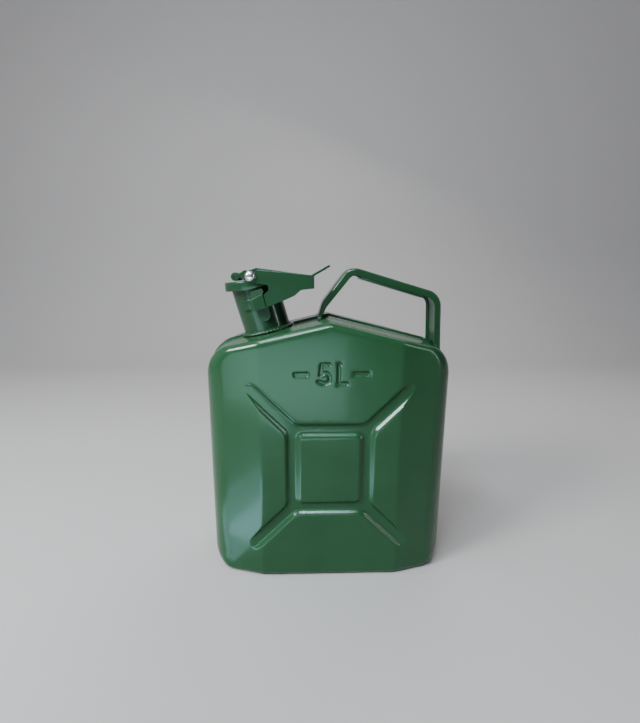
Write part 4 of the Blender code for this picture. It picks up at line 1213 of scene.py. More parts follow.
@dataclass
class Lid:
    """Pressed lid with its gasket, saddle, hinge strap, axle and caps."""

    stand: Stand
    radius: float = mm(29.5)
    sheet: float = mm(1.0)
    edge: float = mm(1.6)
    skirt_depth: float = mm(8.9)
    hinge_depth: float = mm(2.6)
    rise_start: float = mm(5.6)
    rise_round: float = mm(4.0)
    crown: float = mm(0.12)
    crown_shares: tuple[float, ...] = (0.85, 0.7, 0.4, 0.0)
    gasket_inner: float = mm(20.8)
    gasket_outer: float = mm(27.4)
    gasket_thickness: float = mm(2.4)
    seat_height: float = mm(2.5)
    gap: float = mm(0.3)
    saddle_sheet: float = mm(1.4)
    saddle_half: float = mm(29.9)
    saddle_height: float = mm(7.6)
    saddle_edge: float = mm(0.55)
    ear_rise: float = mm(2.2)
    ear_wall: float = mm(1.5)
    saddle_left: float = mm(11.1)
    saddle_right: float = mm(8.8)
    foot_left: float = mm(6.7)
    foot_right: float = mm(7.0)
    saddle_step: float = mm(2.7)
    room_margin: float = mm(2.0)
    lip_end: float = mm(3.4)
    lip_edge: float = mm(0.2)
    lip_drop: float = mm(0.15)
    roll_radius: float = mm(4.1)
    roll_reach: float = mm(16.0)
    roll_drop: float = mm(2.8)
    roll_half: float = mm(20.0)
    roll_edge: float = mm(0.5)
    roll_dish: float = mm(0.25)
    dish_edge: float = mm(0.15)
    dish_margin: float = mm(1.6)
    rim_margin: float = mm(1.0)
    strap_half: float = mm(12.0)
    strap_sheet: float = mm(1.5)
    strap_start: float = mm(4.0)
    strap_edge: float = mm(0.25)
    strap_tuck: float = mm(0.3)
    curl: float = math.radians(268.0)
    knuckle_radius: float = mm(3.8)
    pin_bore: float = mm(2.5)
    axle_radius: float = mm(2.0)
    axle_past: float = mm(1.6)
    axle_tip: float = mm(0.4)
    axle_taper: float = 0.8
    bore_half: float = mm(35.0)
    cap_radius: float = mm(5.0)
    cap_height: float = mm(3.5)
    cap_start: float = mm(32.0)
    cap_flare: float = mm(0.35)
    cap_floor: float = mm(1.9)
    cap_rim: float = mm(0.7)
    cap_neck: float = mm(1.0)
    dome_steps: int = 12
    dome_start: float = mm(1.1)
    dome_inset: float = mm(0.15)
    steps: int = 144

    def hem(self, radius: float, shift: float) -> list[Place]:
        """Return the skirt's lower edge at a radius, with its soft turn at the trim.

        Args:
            radius: The radius.
            shift: How far the edge is lifted.

        Returns:
            The ring's points.
        """
        low = self.stand.lid_top - self.skirt_depth
        rise = (self.skirt_depth - self.hinge_depth) / (self.radius + self.rise_start)
        return [(x, y, low + rise * soft_max(x + self.rise_start, 0.0, self.rise_round) + shift)
                for x, y in circle(radius, self.steps)]

    def dish(self) -> Piece:
        """Build the pressed dish, whose skirt is deep at the lip and shallow at the hinge."""
        top, sheet = self.stand.lid_top, self.sheet
        inner, under = self.radius - sheet, top - sheet
        levels = bend(self.radius - self.edge, top - self.edge, self.edge, 0, 7)
        levels += [(self.radius * share, top - self.crown * smooth((1 - share) * 3))
                   for share in self.crown_shares]
        levels += [(0.0, under), (inner - self.edge / 2, under), (inner, under - self.edge / 2)]
        hems = ((self.radius - sheet / 2, 0.0), (self.radius - sheet / 8, sheet / 8), (self.radius, sheet / 2),
                (inner, sheet / 2), (inner + sheet / 8, sheet / 8))
        hems = [self.hem(radius, shift) for radius, shift in hems]
        rings = hems[:3] + [[(x, y, height) for x, y in circle(radius, self.steps)] for radius, height in levels]
        return finished("lid_dish_fine", draped(rings + hems[3:] + hems[:1]), self.stand.mouth())

    def gasket(self) -> Piece:
        """Build the rubber ring under the lid."""
        low, edge = 2 * self.gap + self.seat_height, self.gasket_thickness / 4
        high, inner, outer = low + self.gasket_thickness, self.gasket_inner, self.gasket_outer
        corners = ((outer - edge, low + edge), (outer - edge, high - edge), (inner + edge, high - edge),
                   (inner + edge, low + edge))
        profile = [point for turn, (x, z) in enumerate(corners, -1) for point in bend(x, z, edge, turn, 4)]
        return finished("lid_gasket_fine", turned(profile, self.steps), self.stand.mouth())

    def saddle(self) -> Piece:
        """Build the folded bridge: two ears, a top with rounded bends, and the rolled thumb edge."""
        mouth, pivot = self.stand.mouth(), self.stand.pivot_x
        foot, top = self.stand.lid_top + self.gap, self.stand.lid_top + self.saddle_height
        left, right, under = pivot - self.saddle_left, pivot + self.saddle_right, top - self.saddle_sheet
        edges = (pivot - self.foot_left, pivot + self.foot_right, right, pivot, left)
        levels = (foot, foot + self.saddle_step, top, top + self.ear_rise)
        corners = [(edges[edge] + mm(along), levels[level] + mm(up), mm(radius))
                   for edge, along, level, up, radius in SADDLE_ROWS]
        saddle = block("lid_saddle_fine", closed_fillet(corners, 5), self.saddle_half, mouth, self.saddle_edge, 4)
        room = box(left - self.room_margin, right + self.room_margin, foot - self.room_margin, under)
        cut_away(saddle, block("room", room, self.saddle_half - self.ear_wall, mouth))
        roll_x = pivot - self.roll_reach
        lip = box(roll_x, left + self.lip_end, under, top - self.lip_drop)
        joined(saddle, block("lip", lip, self.roll_half - self.gap, mouth, self.lip_edge))
        place = Matrix.Translation((roll_x, 0.0, top - self.roll_drop)) @ CROSSWAYS
        joined(saddle, finished("roll", turned(self.roll_profile(), 56), mouth @ place))
        cut_away(saddle, post(self.stand.pivot(), self.axle_radius + self.gap, -self.bore_half, self.bore_half, 32))
        return saddle

    def roll_profile(self) -> list[Point]:
        """Return the thumb roll's profile, from one sunken end to the other."""
        radius, half, edge = self.roll_radius, self.roll_half, self.roll_edge
        end = [(0.0, half - self.roll_dish), (radius - self.dish_margin, half - self.dish_edge),
               (radius - self.rim_margin, half),
               *bend(radius - edge, half - edge, edge, 1, 4, -1)]
        return end + [(out, -height) for out, height in end[::-1]]

    def strap(self) -> Piece:
        """Build the hinge strap: flat on the lid, bent over its rim and curled round the pin."""
        pin = carried(self.stand.hinge(), self.stand.mouth(), (0.0, 0.0))
        low, sheet, right = self.stand.lid_top + self.gap, self.strap_sheet, pin[0] + self.knuckle_radius
        high, turn = low + sheet, 2 * sheet
        outline = [(-self.strap_start, high), (right - turn, high),
                   *bend(right - turn, high - turn, turn, 1, 8, -1)[1:],
                   *arc(pin, self.knuckle_radius, 0.0, -self.curl, 36)[1:],
                   *arc(pin, self.pin_bore, -self.curl, 0.0, 36),
                   (right - sheet, pin[1] + self.strap_tuck), (right - sheet, high - turn),
                   *bend(right - turn, high - turn, turn - sheet, 0, 6)[1:], (-self.strap_start, low)]
        return block("hinge_strap_fine", outline, self.strap_half, self.stand.mouth(), self.strap_edge, 2, STEEP)

    def axle(self) -> Piece:
        """Build the axle that the lever turns on."""
        tail = self.cap_start + self.axle_past
        half = [(0.0, tail), (self.axle_radius * self.axle_taper, tail), (self.axle_radius, tail - self.axle_tip)]
        profile = half + [(radius, -height) for radius, height in half[::-1]]
        return finished("pivot_axle_fine", turned(profile, 32), self.stand.pivot())

    def cap(self, side: Side) -> Piece:
        """Build one domed push-on cap.

        Args:
            side: Which end of the axle.

        Returns:
            The piece.
        """
        low, bore, radius, flare = self.cap_start, self.axle_radius + self.gap, self.cap_radius, self.cap_flare
        dome, floor = radius - flare - self.dome_inset, low + self.dome_start
        profile = [(bore, low + self.cap_floor), (bore, low), (radius - flare, low), (radius, low + flare),
                   (radius, low + self.cap_rim), (radius - flare, low + self.cap_neck)]
        rise = self.cap_height - self.dome_start
        profile += [(dome * out, floor + rise * up) for out, up in bend(0.0, 0.0, 1.0, 0, self.dome_steps)[1:]]
        profile.append((0.0, low + self.cap_floor))
        turn = Matrix() if side is Side.FRONT else Matrix.Rotation(math.pi, 4, "X")
        return finished(f"pivot_cap_{side.word}_fine", turned(profile, 64), self.stand.pivot() @ turn)


# Lever.

@dataclass
class Lever:
    """Channel-shaped lever that pulls the lid down, with its finger tab."""

    stand: Stand
    sheet: float = mm(1.5)
    half_depth: float = mm(31.7)
    length: float = mm(59.0)
    rise: float = mm(8.4)
    nose_radius: float = mm(5.7)
    nose_start: float = math.radians(258.0)
    nose_end: float = math.radians(92.0)
    tail_depth: float = mm(11.8)
    tail_flat: float = mm(12.0)
    belly_drop: float = mm(17.2)
    belly_run: float = mm(24.0)
    toe_drop: float = mm(27.0)
    toe_x: float = mm(18.4)
    lip_step: Point = (mm(-1.2), mm(-3.5))
    notch_step: Point = (mm(3.4), mm(1.2))
    roof_step: Point = (mm(-1.2), mm(4.7))
    radii: tuple[float, ...] = tuple(map(mm, (1.0, 1.0, 1.2, 0.8, 3.0, 3.0, 3.0, 1.0, 0.5, 0.4, 1.6, 1.2)))
    web_start: float = mm(5.0)
    web_lead: float = 0.86
    tail_share: float = 0.9
    belly_share: float = 0.72
    bend_radius: float = mm(2.4)
    tab_length: float = mm(20.7)
    tab_half: float = mm(14.0)
    tab_angle: float = math.radians(37.4)
    tab_tip: float = mm(8.0)
    tab_extra: float = mm(0.7)
    tab_tail: float = mm(7.0)
    tab_turn: float = mm(0.6)
    tab_bend: float = mm(3.5)
    tab_sink: float = mm(0.05)
    tab_edge: float = mm(0.35)
    tab_pitch: float = mm(0.8)
    tab_root: Point = (1.5, 0.9)
    tab_columns: int = 12
    bore: float = mm(2.3)
    bore_half: float = mm(35.0)
    near: float = mm(0.01)

    def cheek(self) -> list[Point]:
        """Return the outline of the lever's side, in its own frame."""
        matrix = self.stand.lever()
        tip = carried(self.stand.mouth(), matrix, self.stand.beak)
        lip = carried(Matrix(), matrix, stepped(carried(matrix, Matrix(), tip), self.lip_step))
        notch = stepped(tip, self.notch_step)
        tail_z = self.rise - self.tail_depth
        belly_x = self.length - self.belly_run
        nose = arc((0.0, 0.0), self.nose_radius, self.nose_start, self.nose_end, 24)
        corners = [nose[-1], (self.web_start / 2, self.rise * self.web_lead), (self.web_start, self.rise),
                   (self.length, self.rise), (self.length + self.sheet, tail_z),
                   (self.length - self.tail_flat * self.tail_share, tail_z - 2 * self.sheet),
                   (belly_x + self.belly_run / 3, -self.belly_drop * self.belly_share), (belly_x, -self.belly_drop),
                   (self.toe_x + self.sheet, -self.toe_drop + self.sheet), (self.toe_x, -self.toe_drop),
                   lip, notch, stepped(notch, self.roof_step), nose[0]]
        return nose[:-1] + filleted(corners, self.radii, 5)[:-1]

    def build(self) -> Piece:
        """Build the lever: cheeks and web with rounded bends, and the tab at its tail."""
        lever = self.folded("lever_fine", self.cheek(), self.half_depth, self.rise, (self.bend_radius, 6))
        reach, under = 2 * self.length, self.rise - self.sheet
        room = [(-reach, -reach), (reach, -reach), (reach, under), (self.web_start, under), (self.web_start, reach),
                (-reach, reach)]
        cut_away(lever, self.folded("room", room, self.half_depth - self.sheet, under,
                                    (self.bend_radius - self.sheet, 4)))
        cut_away(lever, post(CROSSWAYS, self.bore, -self.bore_half, self.bore_half, 32))
        joined(lever, self.tab())
        lever.data.transform(self.stand.lever())
        return lever

    def folded(self, name: str, outline: list[Point], half: float, height: float, bends: tuple[float, int]) -> Piece:
        """Return a block with its two long top edges rounded over the web.

        Args:
            name: Its name.
            outline: Its outline.
            half: Half its depth.
            height: The height of those edges.
            bends: Their radius and how many chords they have.

        Returns:
            The block.
        """
        bm = extruded(outline, -half, half)
        edges = []
        for edge in bm.edges:
            first, last = (vert.co for vert in edge.verts)
            level = max(abs(first.z - height), abs(last.z - height), abs(first.y - last.y)) < self.near
            if level and min(first.x, last.x) > self.web_start - self.sheet / 3:
                edges.append(edge)
        rounded(bm, edges, *bends, False)
        return finished(name, bm)

    def tab(self) -> Piece:
        """Return the finger tab, bent up from the web's end."""
        half, extra = self.sheet / 2, self.tab_extra / 2
        along = Vector((math.cos(self.tab_angle), math.sin(self.tab_angle)))
        back, down = self.tab_root
        root = Vector((self.length - self.sheet * back, self.rise - self.sheet * down + half))
        root += Vector((along.y, -along.x)) * extra
        tip = root + along * self.tab_length
        level = self.rise - half - self.tab_sink - extra
        path = filleted([(root.x - self.tab_tail, level), (root.x - self.tab_turn, level), tuple(tip)],
                        [self.tab_bend])
        fine = []
        for first, last in zip(path, path[1:]):
            count = max(int(math.dist(first, last) / self.tab_pitch), 1)
            fine += [(blend(first[0], last[0], step / count), blend(first[1], last[1], step / count))
                     for step in range(count)]
        rings = []
        for x, z in fine + path[-1:]:
            width = self.tab_half - inset_of(self.tab_tip, self.tab_tip - (tip - Vector((x, z))).length)
            rings.append([(x, blend(-width, width, step / self.tab_columns), z)
                          for step in range(self.tab_columns + 1)])
        piece = finished("tab", draped(rings, loop=False))
        thicken(piece, self.sheet + self.tab_extra, self.tab_edge)
        return piece


# Handle.

# The section of the beads at its feet, as shares of their width and their height.
BEAD_SECTION = ((-0.12, 1.0), (0.10, 0.98), (0.34, 0.80), (0.62, 0.52), (0.86, 0.26), (1.0, 0.0), (1.0, -0.3),
                (-0.12, -0.3))


@dataclass
class Handle:
    """Carrying handle: a bent channel with its liner and the welds at its feet."""

    outline: Outline
    half_depth: float = mm(15.2)
    thickness: float = mm(7.3)
    edge_radius: float = mm(2.8)
    lip: float = mm(0.35)
    wall: float = mm(1.4)
    recess: float = mm(2.2)
    left_x: float = mm(-6.2)
    left_foot: float = mm(-9.5)
    knee_x: float = mm(-4.6)
    knee_rise: float = mm(13.1)
    foot_taper: float = 0.42
    taper_height: float = mm(22.0)
    leg_angle: float = math.radians(52.3)
    top_x: float = mm(21.5)
    grip_slope: float = math.radians(16.2)
    right_x: float = mm(108.2)
    foot_x: float = mm(111.2)
    radii: tuple[float, float, float] = (mm(12.0), mm(11.0), mm(14.0))
    fillet_steps: int = 16
    tunnel_half: float = mm(4.0)
    tunnel_height: float = mm(3.5)
    gap: float = mm(0.1)
    liner_thickness: float = mm(1.9)
    liner_inset: float = mm(3.5)
    liner_edge: float = mm(0.3)
    liner_lip: float = mm(0.2)
    liner_round: float = 0.7
    weld_width: float = mm(2.1)
    weld_height: float = mm(3.6)
    weld_past: float = mm(0.7)
    weld_steps: int = 48
    weld_waves: float = 4.5
    weld_start: float = 0.5
    weld_ripple: float = 0.16
    weld_tip: float = 0.35
    weld_growth: float = 8.0

    def path(self) -> list[Vector]:
        """Return the middle line of the handle's strap, foot to foot."""
        left_z = self.outline.roof(self.left_x)
        knee_z = left_z + self.knee_rise
        top_z = knee_z + (self.top_x - self.knee_x) * math.tan(self.leg_angle)
        right_z = top_z - (self.right_x - self.top_x) * math.tan(self.grip_slope)
        foot_z = self.outline.roof(self.outline.half_width) - self.outline.shoulder_radius / 2
        start_x = self.left_foot - (self.knee_x - self.left_foot) * self.thickness / self.knee_rise
        corners = [(start_x, left_z - self.thickness), (self.knee_x, knee_z), (self.top_x, top_z),
                   (self.right_x, right_z), (self.foot_x, foot_z)]
        return [Vector(point) for point in filleted(corners, self.radii, self.fillet_steps)]

    def section(self) -> list[Point]:
        """Return the strap's section: a channel with rounded outer edges, open on its inner side."""
        half, depth, edge, lip = self.thickness / 2, self.half_depth, self.edge_radius, self.lip
        web, side, inner = self.recess - half, depth - self.wall, edge - self.wall
        return [(-half, -depth + lip), (-half + lip, -depth), *bend(half - edge, -depth + edge, edge, -1, 8),
                *bend(half - edge, depth - edge, edge, 0, 8), (-half + lip, depth), (-half, depth - lip),
                (-half, side + lip), (-half + lip, side), *bend(web - inner, side - inner, inner, 1, 5, -1),
                *bend(web - inner, -side + inner, inner, 0, 5, -1), (-half + lip, -side), (-half, -side - lip)]

    def prism(self, outset: float, half_depth: float) -> Piece:
        """Return a solid inside the seam outline, moved out, across the middle plane."""
        rings = [self.outline.ring(-outset, 0.0, depth) for depth in (-half_depth, half_depth)]
        return finished("prism", draped(rings, caps=True))

    def strap(self) -> Piece:
        """Build the bent channel, trimmed to the roof and notched over the seam."""
        path, foot_z = self.path(), self.outline.roof(self.left_x)
        rings = []
        for middle, ring in zip(path, path_rings(path, self.section())):
            share = smooth((middle.y - foot_z) / self.taper_height) if middle.x < self.top_x else 1.0
            size = blend(self.foot_taper, 1.0, share)
            rings.append([(blend(middle.x, x, size), y, blend(middle.y, z, size)) for x, y, z in ring])
        strap = finished("handle_strap_fine", draped(rings, caps=True))
        cut_away(strap, self.prism(self.gap, 2 * self.half_depth))
        cut_away(strap, self.prism(self.tunnel_height, self.tunnel_half))
        return strap

    def liner(self) -> Piece:
        """Build the folded liner under the grip."""
        grip = 2 * (self.fillet_steps + 1)
        first, last = self.path()[grip:grip + 2]
        inset = (last - first).normalized() * self.liner_inset
        top, side, edge = -self.thickness / 2 - self.gap, self.half_depth, self.liner_thickness * self.liner_round
        low = top - self.liner_thickness
        section = [(top, -side + self.liner_lip), (top, side - self.liner_lip),
                   *bend(low + edge, side - edge, edge, 1, 6), *bend(low + edge, -side + edge, edge, 2, 6)]
        bm = draped(path_rings([first + inset, last - inset], section), caps=True)
        soften(bm, self.liner_edge, 3, STEEP)
        return finished("handle_liner_fine", bm)

    def surface(self, x: float) -> float:
        """Return the roof's or the shoulder's height at x.

        Args:
            x: Place along the can.

        Returns:
            The height.
        """
        outline, radius = self.outline, self.outline.shoulder_radius
        if abs(x) < outline.tangent_x:
            return outline.roof(x)
        away = min(abs(x) - outline.shoulder_x, radius)
        return outline.shoulder_z + math.sqrt(radius ** 2 - away ** 2)

    def weld(self, end: End, side: Side) -> Piece:
        """Build the rippled bead along one flange of a foot.

        Args:
            end: Which foot.
            side: Which flange.

        Returns:
            The piece.
        """
        x, taper = (self.left_foot, self.foot_taper) if end is End.LEFT else (self.foot_x, 1.0)
        half = self.thickness / 2 * taper + self.weld_past
        rings = []
        for share in (step / self.weld_steps for step in range(self.weld_steps + 1)):
            spot = blend(x - half, x + half, share)
            wave = abs(math.sin(math.pi * share * self.weld_waves + self.weld_start))
            size = ((1 - self.weld_ripple * (1 - wave))
                    * min(1.0, self.weld_tip + self.weld_growth * min(share, 1 - share)))
            rings.append([(spot, side.value * (self.half_depth + self.weld_width * out * size),
                           self.surface(spot) + self.weld_height * up * size) for out, up in BEAD_SECTION])
        return finished(f"handle_weld_{end.value}_{side.word}_fine", draped(rings, caps=True), sharp=STEEP)


# Finishes.

class Book:
    """Small helper that adds and links nodes of one tree."""

    def __init__(self, tree: Tree) -> None:
        """Keep the tree."""
        self.tree = tree

    def feed(self, node: bpy.types.Node, inputs: dict[str | int, object]) -> None:
        """Set a node's inputs to values, or link them to sockets, by socket name or number.

        Args:
            node: The node.
            inputs: Values or sockets by input.
        """
        for key, value in inputs.items():
            if isinstance(value, Socket):
                self.tree.links.new(value, node.inputs[key])
            else:
                node.inputs[key].default_value = value

    def add(self, kind: str, inputs: dict[str | int, object] | None = None, **settings: object) -> bpy.types.Node:
        """Add a node.

        Args:
            kind: The node's type name.
            inputs: Values or sockets for its inputs.
            **settings: Properties of the node.

        Returns:
            The new node.
        """
        node = self.tree.nodes.new(kind)
        for name, value in settings.items():
            setattr(node, name, value)
        self.feed(node, inputs or {})
        return node

    def ramp(self, source: Socket, low: float, high: float) -> Socket:
        """Return a smooth 0-to-1 ramp of a value between low and high."""
        return self.add("ShaderNodeMapRange", {"Value": source, "From Min": low, "From Max": high},
                        interpolation_type="SMOOTHSTEP").outputs["Result"]

    def noise(self, place: Socket, scale: Socket | float, detail: Socket | float, roughness: float) -> Socket:
        """Return a noise from 0 to 1."""
        return self.add("ShaderNodeTexNoise", {"Vector": place, "Scale": scale, "Detail": detail,
                                               "Roughness": roughness}).outputs["Fac"]

    def worked(self, operation: str, *values: Socket | float) -> Socket:
        """Return the result of an arithmetic node."""
        return self.add("ShaderNodeMath", dict(enumerate(values)), operation=operation).outputs[0]

    def mix(self, share: Socket, first: Socket | Colour, last: Colour) -> Socket:
        """Return a colour between two colours."""
        start = first if isinstance(first, Socket) else (*first, 1.0)
        return self.add("ShaderNodeMix", {"Factor": share, "A": start, "B": (*last, 1.0)},
                        data_type="RGBA").outputs["Result"]


class Group(Book):
    """Nodes of a new shader node group."""

    def __init__(self, name: str, result: str, **inputs: float) -> None:
        """Make the group.

        Args:
            name: Its name.
            result: The name of its one output, a value.
            **inputs: Names of its value inputs, with their defaults.
        """
        super().__init__(bpy.data.node_groups.new(name, "ShaderNodeTree"))
        face = self.tree.interface
        face.new_socket(name="Vector", in_out="INPUT", socket_type="NodeSocketVector")
        for key, value in inputs.items():
            face.new_socket(name=key, in_out="INPUT", socket_type="NodeSocketFloat").default_value = value
        face.new_socket(name=result, in_out="OUTPUT", socket_type="NodeSocketFloat")
        self.result = result
        self.given = self.add("NodeGroupInput").outputs
        self.place = self.given["Vector"]

    def closed(self, source: Socket) -> Tree:
        """Link the result, and return the group."""
        self.add("NodeGroupOutput", {self.result: source})
        return self.tree


class Paint(Book):
    """Nodes of a new material, which reads places on the object."""

    def __init__(self, name: str) -> None:
        """Make the material.

        Args:
            name: Its name.
        """
        self.material = bpy.data.materials.new(name)
        self.material.use_nodes = True
        super().__init__(self.material.node_tree)
        self.place = self.add("ShaderNodeTexCoord").outputs["Object"]

    def shared(self, group: Tree, **inputs: float) -> Socket:
        """Return the result of a shared group."""
        return self.add("ShaderNodeGroup", {"Vector": self.place, **inputs}, node_tree=group).outputs[0]

    def closed(self, **inputs: object) -> bpy.types.Material:
        """Feed the shader, and return the material.

        Args:
            **inputs: Names of the shader's inputs, with _ for a space.

        Returns:
            The material.
        """
        self.feed(self.tree.nodes["Principled BSDF"], {key.replace("_", " "): inputs[key] for key in inputs})
        return self.material


def mottle_group() -> Tree:
    """Make the group of slow, cloudy variation: a value from 0 to 1."""
    group = Group("mottle", "Value", Scale=20.0, Detail=3.0)
    noise = group.noise(group.place, group.given["Scale"], group.given["Detail"], 0.55)
    return group.closed(group.ramp(noise, 0.3, 0.7))


def peel_group() -> Tree:
    """Make the group of a sprayed coat's skin: a height with fine peel on long waves."""
    group = Group("orange_peel", "Height", Fine=420.0, Long=55.0, Share=0.5)
    fine = group.noise(group.place, group.given["Fine"], 2.0, 0.45)
    waves = group.noise(group.place, group.given["Long"], 1.0, 0.4)
    mixed = group.add("ShaderNodeMix", {"Factor": group.given["Share"], "A": fine, "B": waves}, data_type="FLOAT")
    return group.closed(mixed.outputs["Result"])


def dust_group() -> Tree:
    """Make the group of settled dust: a mask on faces that look up, broken by noise."""
    group = Group("dust", "Mask", Amount=0.3, Scale=130.0)
    normal = group.add("ShaderNodeNewGeometry").outputs["Normal"]
    upward = group.ramp(group.add("ShaderNodeSeparateXYZ", {"Vector": normal}).outputs["Z"], 0.55, 1.0)
    broken = group.ramp(group.noise(group.place, group.given["Scale"], 6.0, 0.7), 0.35, 0.75)
    layer = group.worked("MULTIPLY", upward, broken)
    return group.closed(group.worked("MULTIPLY", layer, group.given["Amount"]))


@dataclass(frozen=True)
class Groups:
    """The shared node groups, built once."""

    mottle: Tree
    peel: Tree
    dust: Tree

    @classmethod
    def build(cls) -> Groups:
        """Build every group."""
        return cls(mottle_group(), peel_group(), dust_group())


@dataclass(frozen=True)
class Coating:
    """What the finishes share: two clouded colours, a roughness that swings, and a fine skin."""

    finish: Finish
    deep: Colour
    pale: Colour
    roughness: float
    roughness_swing: float
    skin_depth: float
    skin_fine: float = 420.0
    skin_long: float = 55.0
    skin_share: float = 0.5
    cloud_scale: float = 20.0

    def material(self, groups: Groups) -> bpy.types.Material:
        """Build the material.

        Args:
            groups: The shared groups.

        Returns:
            The material.
        """
        paint = Paint(self.finish.value)
        clouds = paint.shared(groups.mottle, Scale=self.cloud_scale)
        skin = paint.shared(groups.peel, Fine=self.skin_fine, Long=self.skin_long, Share=self.skin_share)
        bump = paint.add("ShaderNodeBump", {"Height": skin, "Strength": 1.0, "Distance": self.skin_depth})
        return paint.closed(Normal=bump.outputs["Normal"], **self.layers(paint, groups, clouds))

    def layers(self, paint: Paint, groups: Groups, clouds: Socket) -> dict[str, object]:
        """Return the shader's other inputs.

        Args:
            paint: The material's nodes.
            groups: The shared groups; not used here.
            clouds: The clouding, from 0 to 1.

        Returns:
            Values or sockets by input.
        """
        return {"Base_Color": paint.mix(clouds, self.deep, self.pale),
                "Roughness": paint.worked("MULTIPLY_ADD", clouds, self.roughness_swing, self.roughness)}


@dataclass(frozen=True)
class Enamel(Coating):
    """Glossy green enamel, sprayed over pressed steel."""

    deep: Colour = (0.0088, 0.0510, 0.0180)
    pale: Colour = (0.0108, 0.0570, 0.0210)
    roughness: float = 0.20
    roughness_swing: float = 0.05
    skin_depth: float = mm(0.012)
    dusty: Colour = (0.060, 0.110, 0.075)
    dust: float = 0.25
    dust_swing: float = 0.20
    coat: float = 0.12
    coat_roughness: float = 0.08
    specular: float = 0.25

    def layers(self, paint: Paint, groups: Groups, clouds: Socket) -> dict[str, object]:
        """Return the shader's other inputs, with dust over the paint and a clear coat.

        Args:
            paint: The material's nodes.
            groups: The shared groups.
            clouds: The clouding, from 0 to 1.

        Returns:
            Values or sockets by input.
        """
        settled = paint.shared(groups.dust, Amount=self.dust)
        rough = paint.add("ShaderNodeMapRange", {"Value": settled, "To Min": self.roughness,
                                                 "To Max": self.roughness + self.dust_swing})
        return {"Base_Color": paint.mix(settled, paint.mix(clouds, self.deep, self.pale), self.dusty),
                "Roughness": paint.worked("MULTIPLY_ADD", clouds, self.roughness_swing, rough.outputs["Result"]),
                "Coat_Weight": self.coat, "Coat_Roughness": self.coat_roughness,
                "Specular_IOR_Level": self.specular}


@dataclass(frozen=True)
class ZincPlate(Coating):
    """Bright zinc plating with faint clouding."""

    finish: Finish = Finish.ZINC
    deep: Colour = (0.78, 0.79, 0.80)
    pale: Colour = (0.60, 0.60, 0.59)
    roughness: float = 0.09
    roughness_swing: float = 0.10
    skin_depth: float = mm(0.006)
    skin_fine: float = 1500.0
    skin_long: float = 300.0
    cloud_scale: float = 260.0

    def layers(self, paint: Paint, groups: Groups, clouds: Socket) -> dict[str, object]:
        """Return the shader's other inputs, of bare metal."""
        return {**super().layers(paint, groups, clouds), "Metallic": 1.0}


@dataclass(frozen=True)
class Rubber(Coating):
    """Black fuel-proof rubber with a dull, finely grained skin."""

    finish: Finish = Finish.RUBBER
    deep: Colour = (0.010, 0.010, 0.010)
    pale: Colour = (0.024, 0.024, 0.023)
    roughness: float = 0.62
    roughness_swing: float = 0.18
    skin_depth: float = mm(0.03)
    skin_fine: float = 2600.0
    skin_long: float = 500.0
    skin_share: float = 0.3
    cloud_scale: float = 110.0


# Studio.

@dataclass(frozen=True)
class Softbox:
    """A plain rectangular light."""

    name: str
    place: Place
    aim: Place
    width: float
    height: float
    power: float
    colour: Colour = (1.0, 1.0, 1.0)
    card: bool = False

    def build(self) -> None:
        """Add the light to the scene; a card shows in reflections alone."""
        data = bpy.data.lights.new(self.name, "AREA")
        data.shape = "RECTANGLE"
        data.size, data.size_y = self.width, self.height
        data.energy, data.color = self.power, self.colour
        lamp = bpy.data.objects.new(self.name, data)
        lamp.visible_diffuse = not self.card
        lamp.location = self.place
        lamp.rotation_euler = (Vector(self.aim) - Vector(self.place)).to_track_quat("-Z", "Y").to_euler()
        bpy.context.scene.collection.objects.link(lamp)


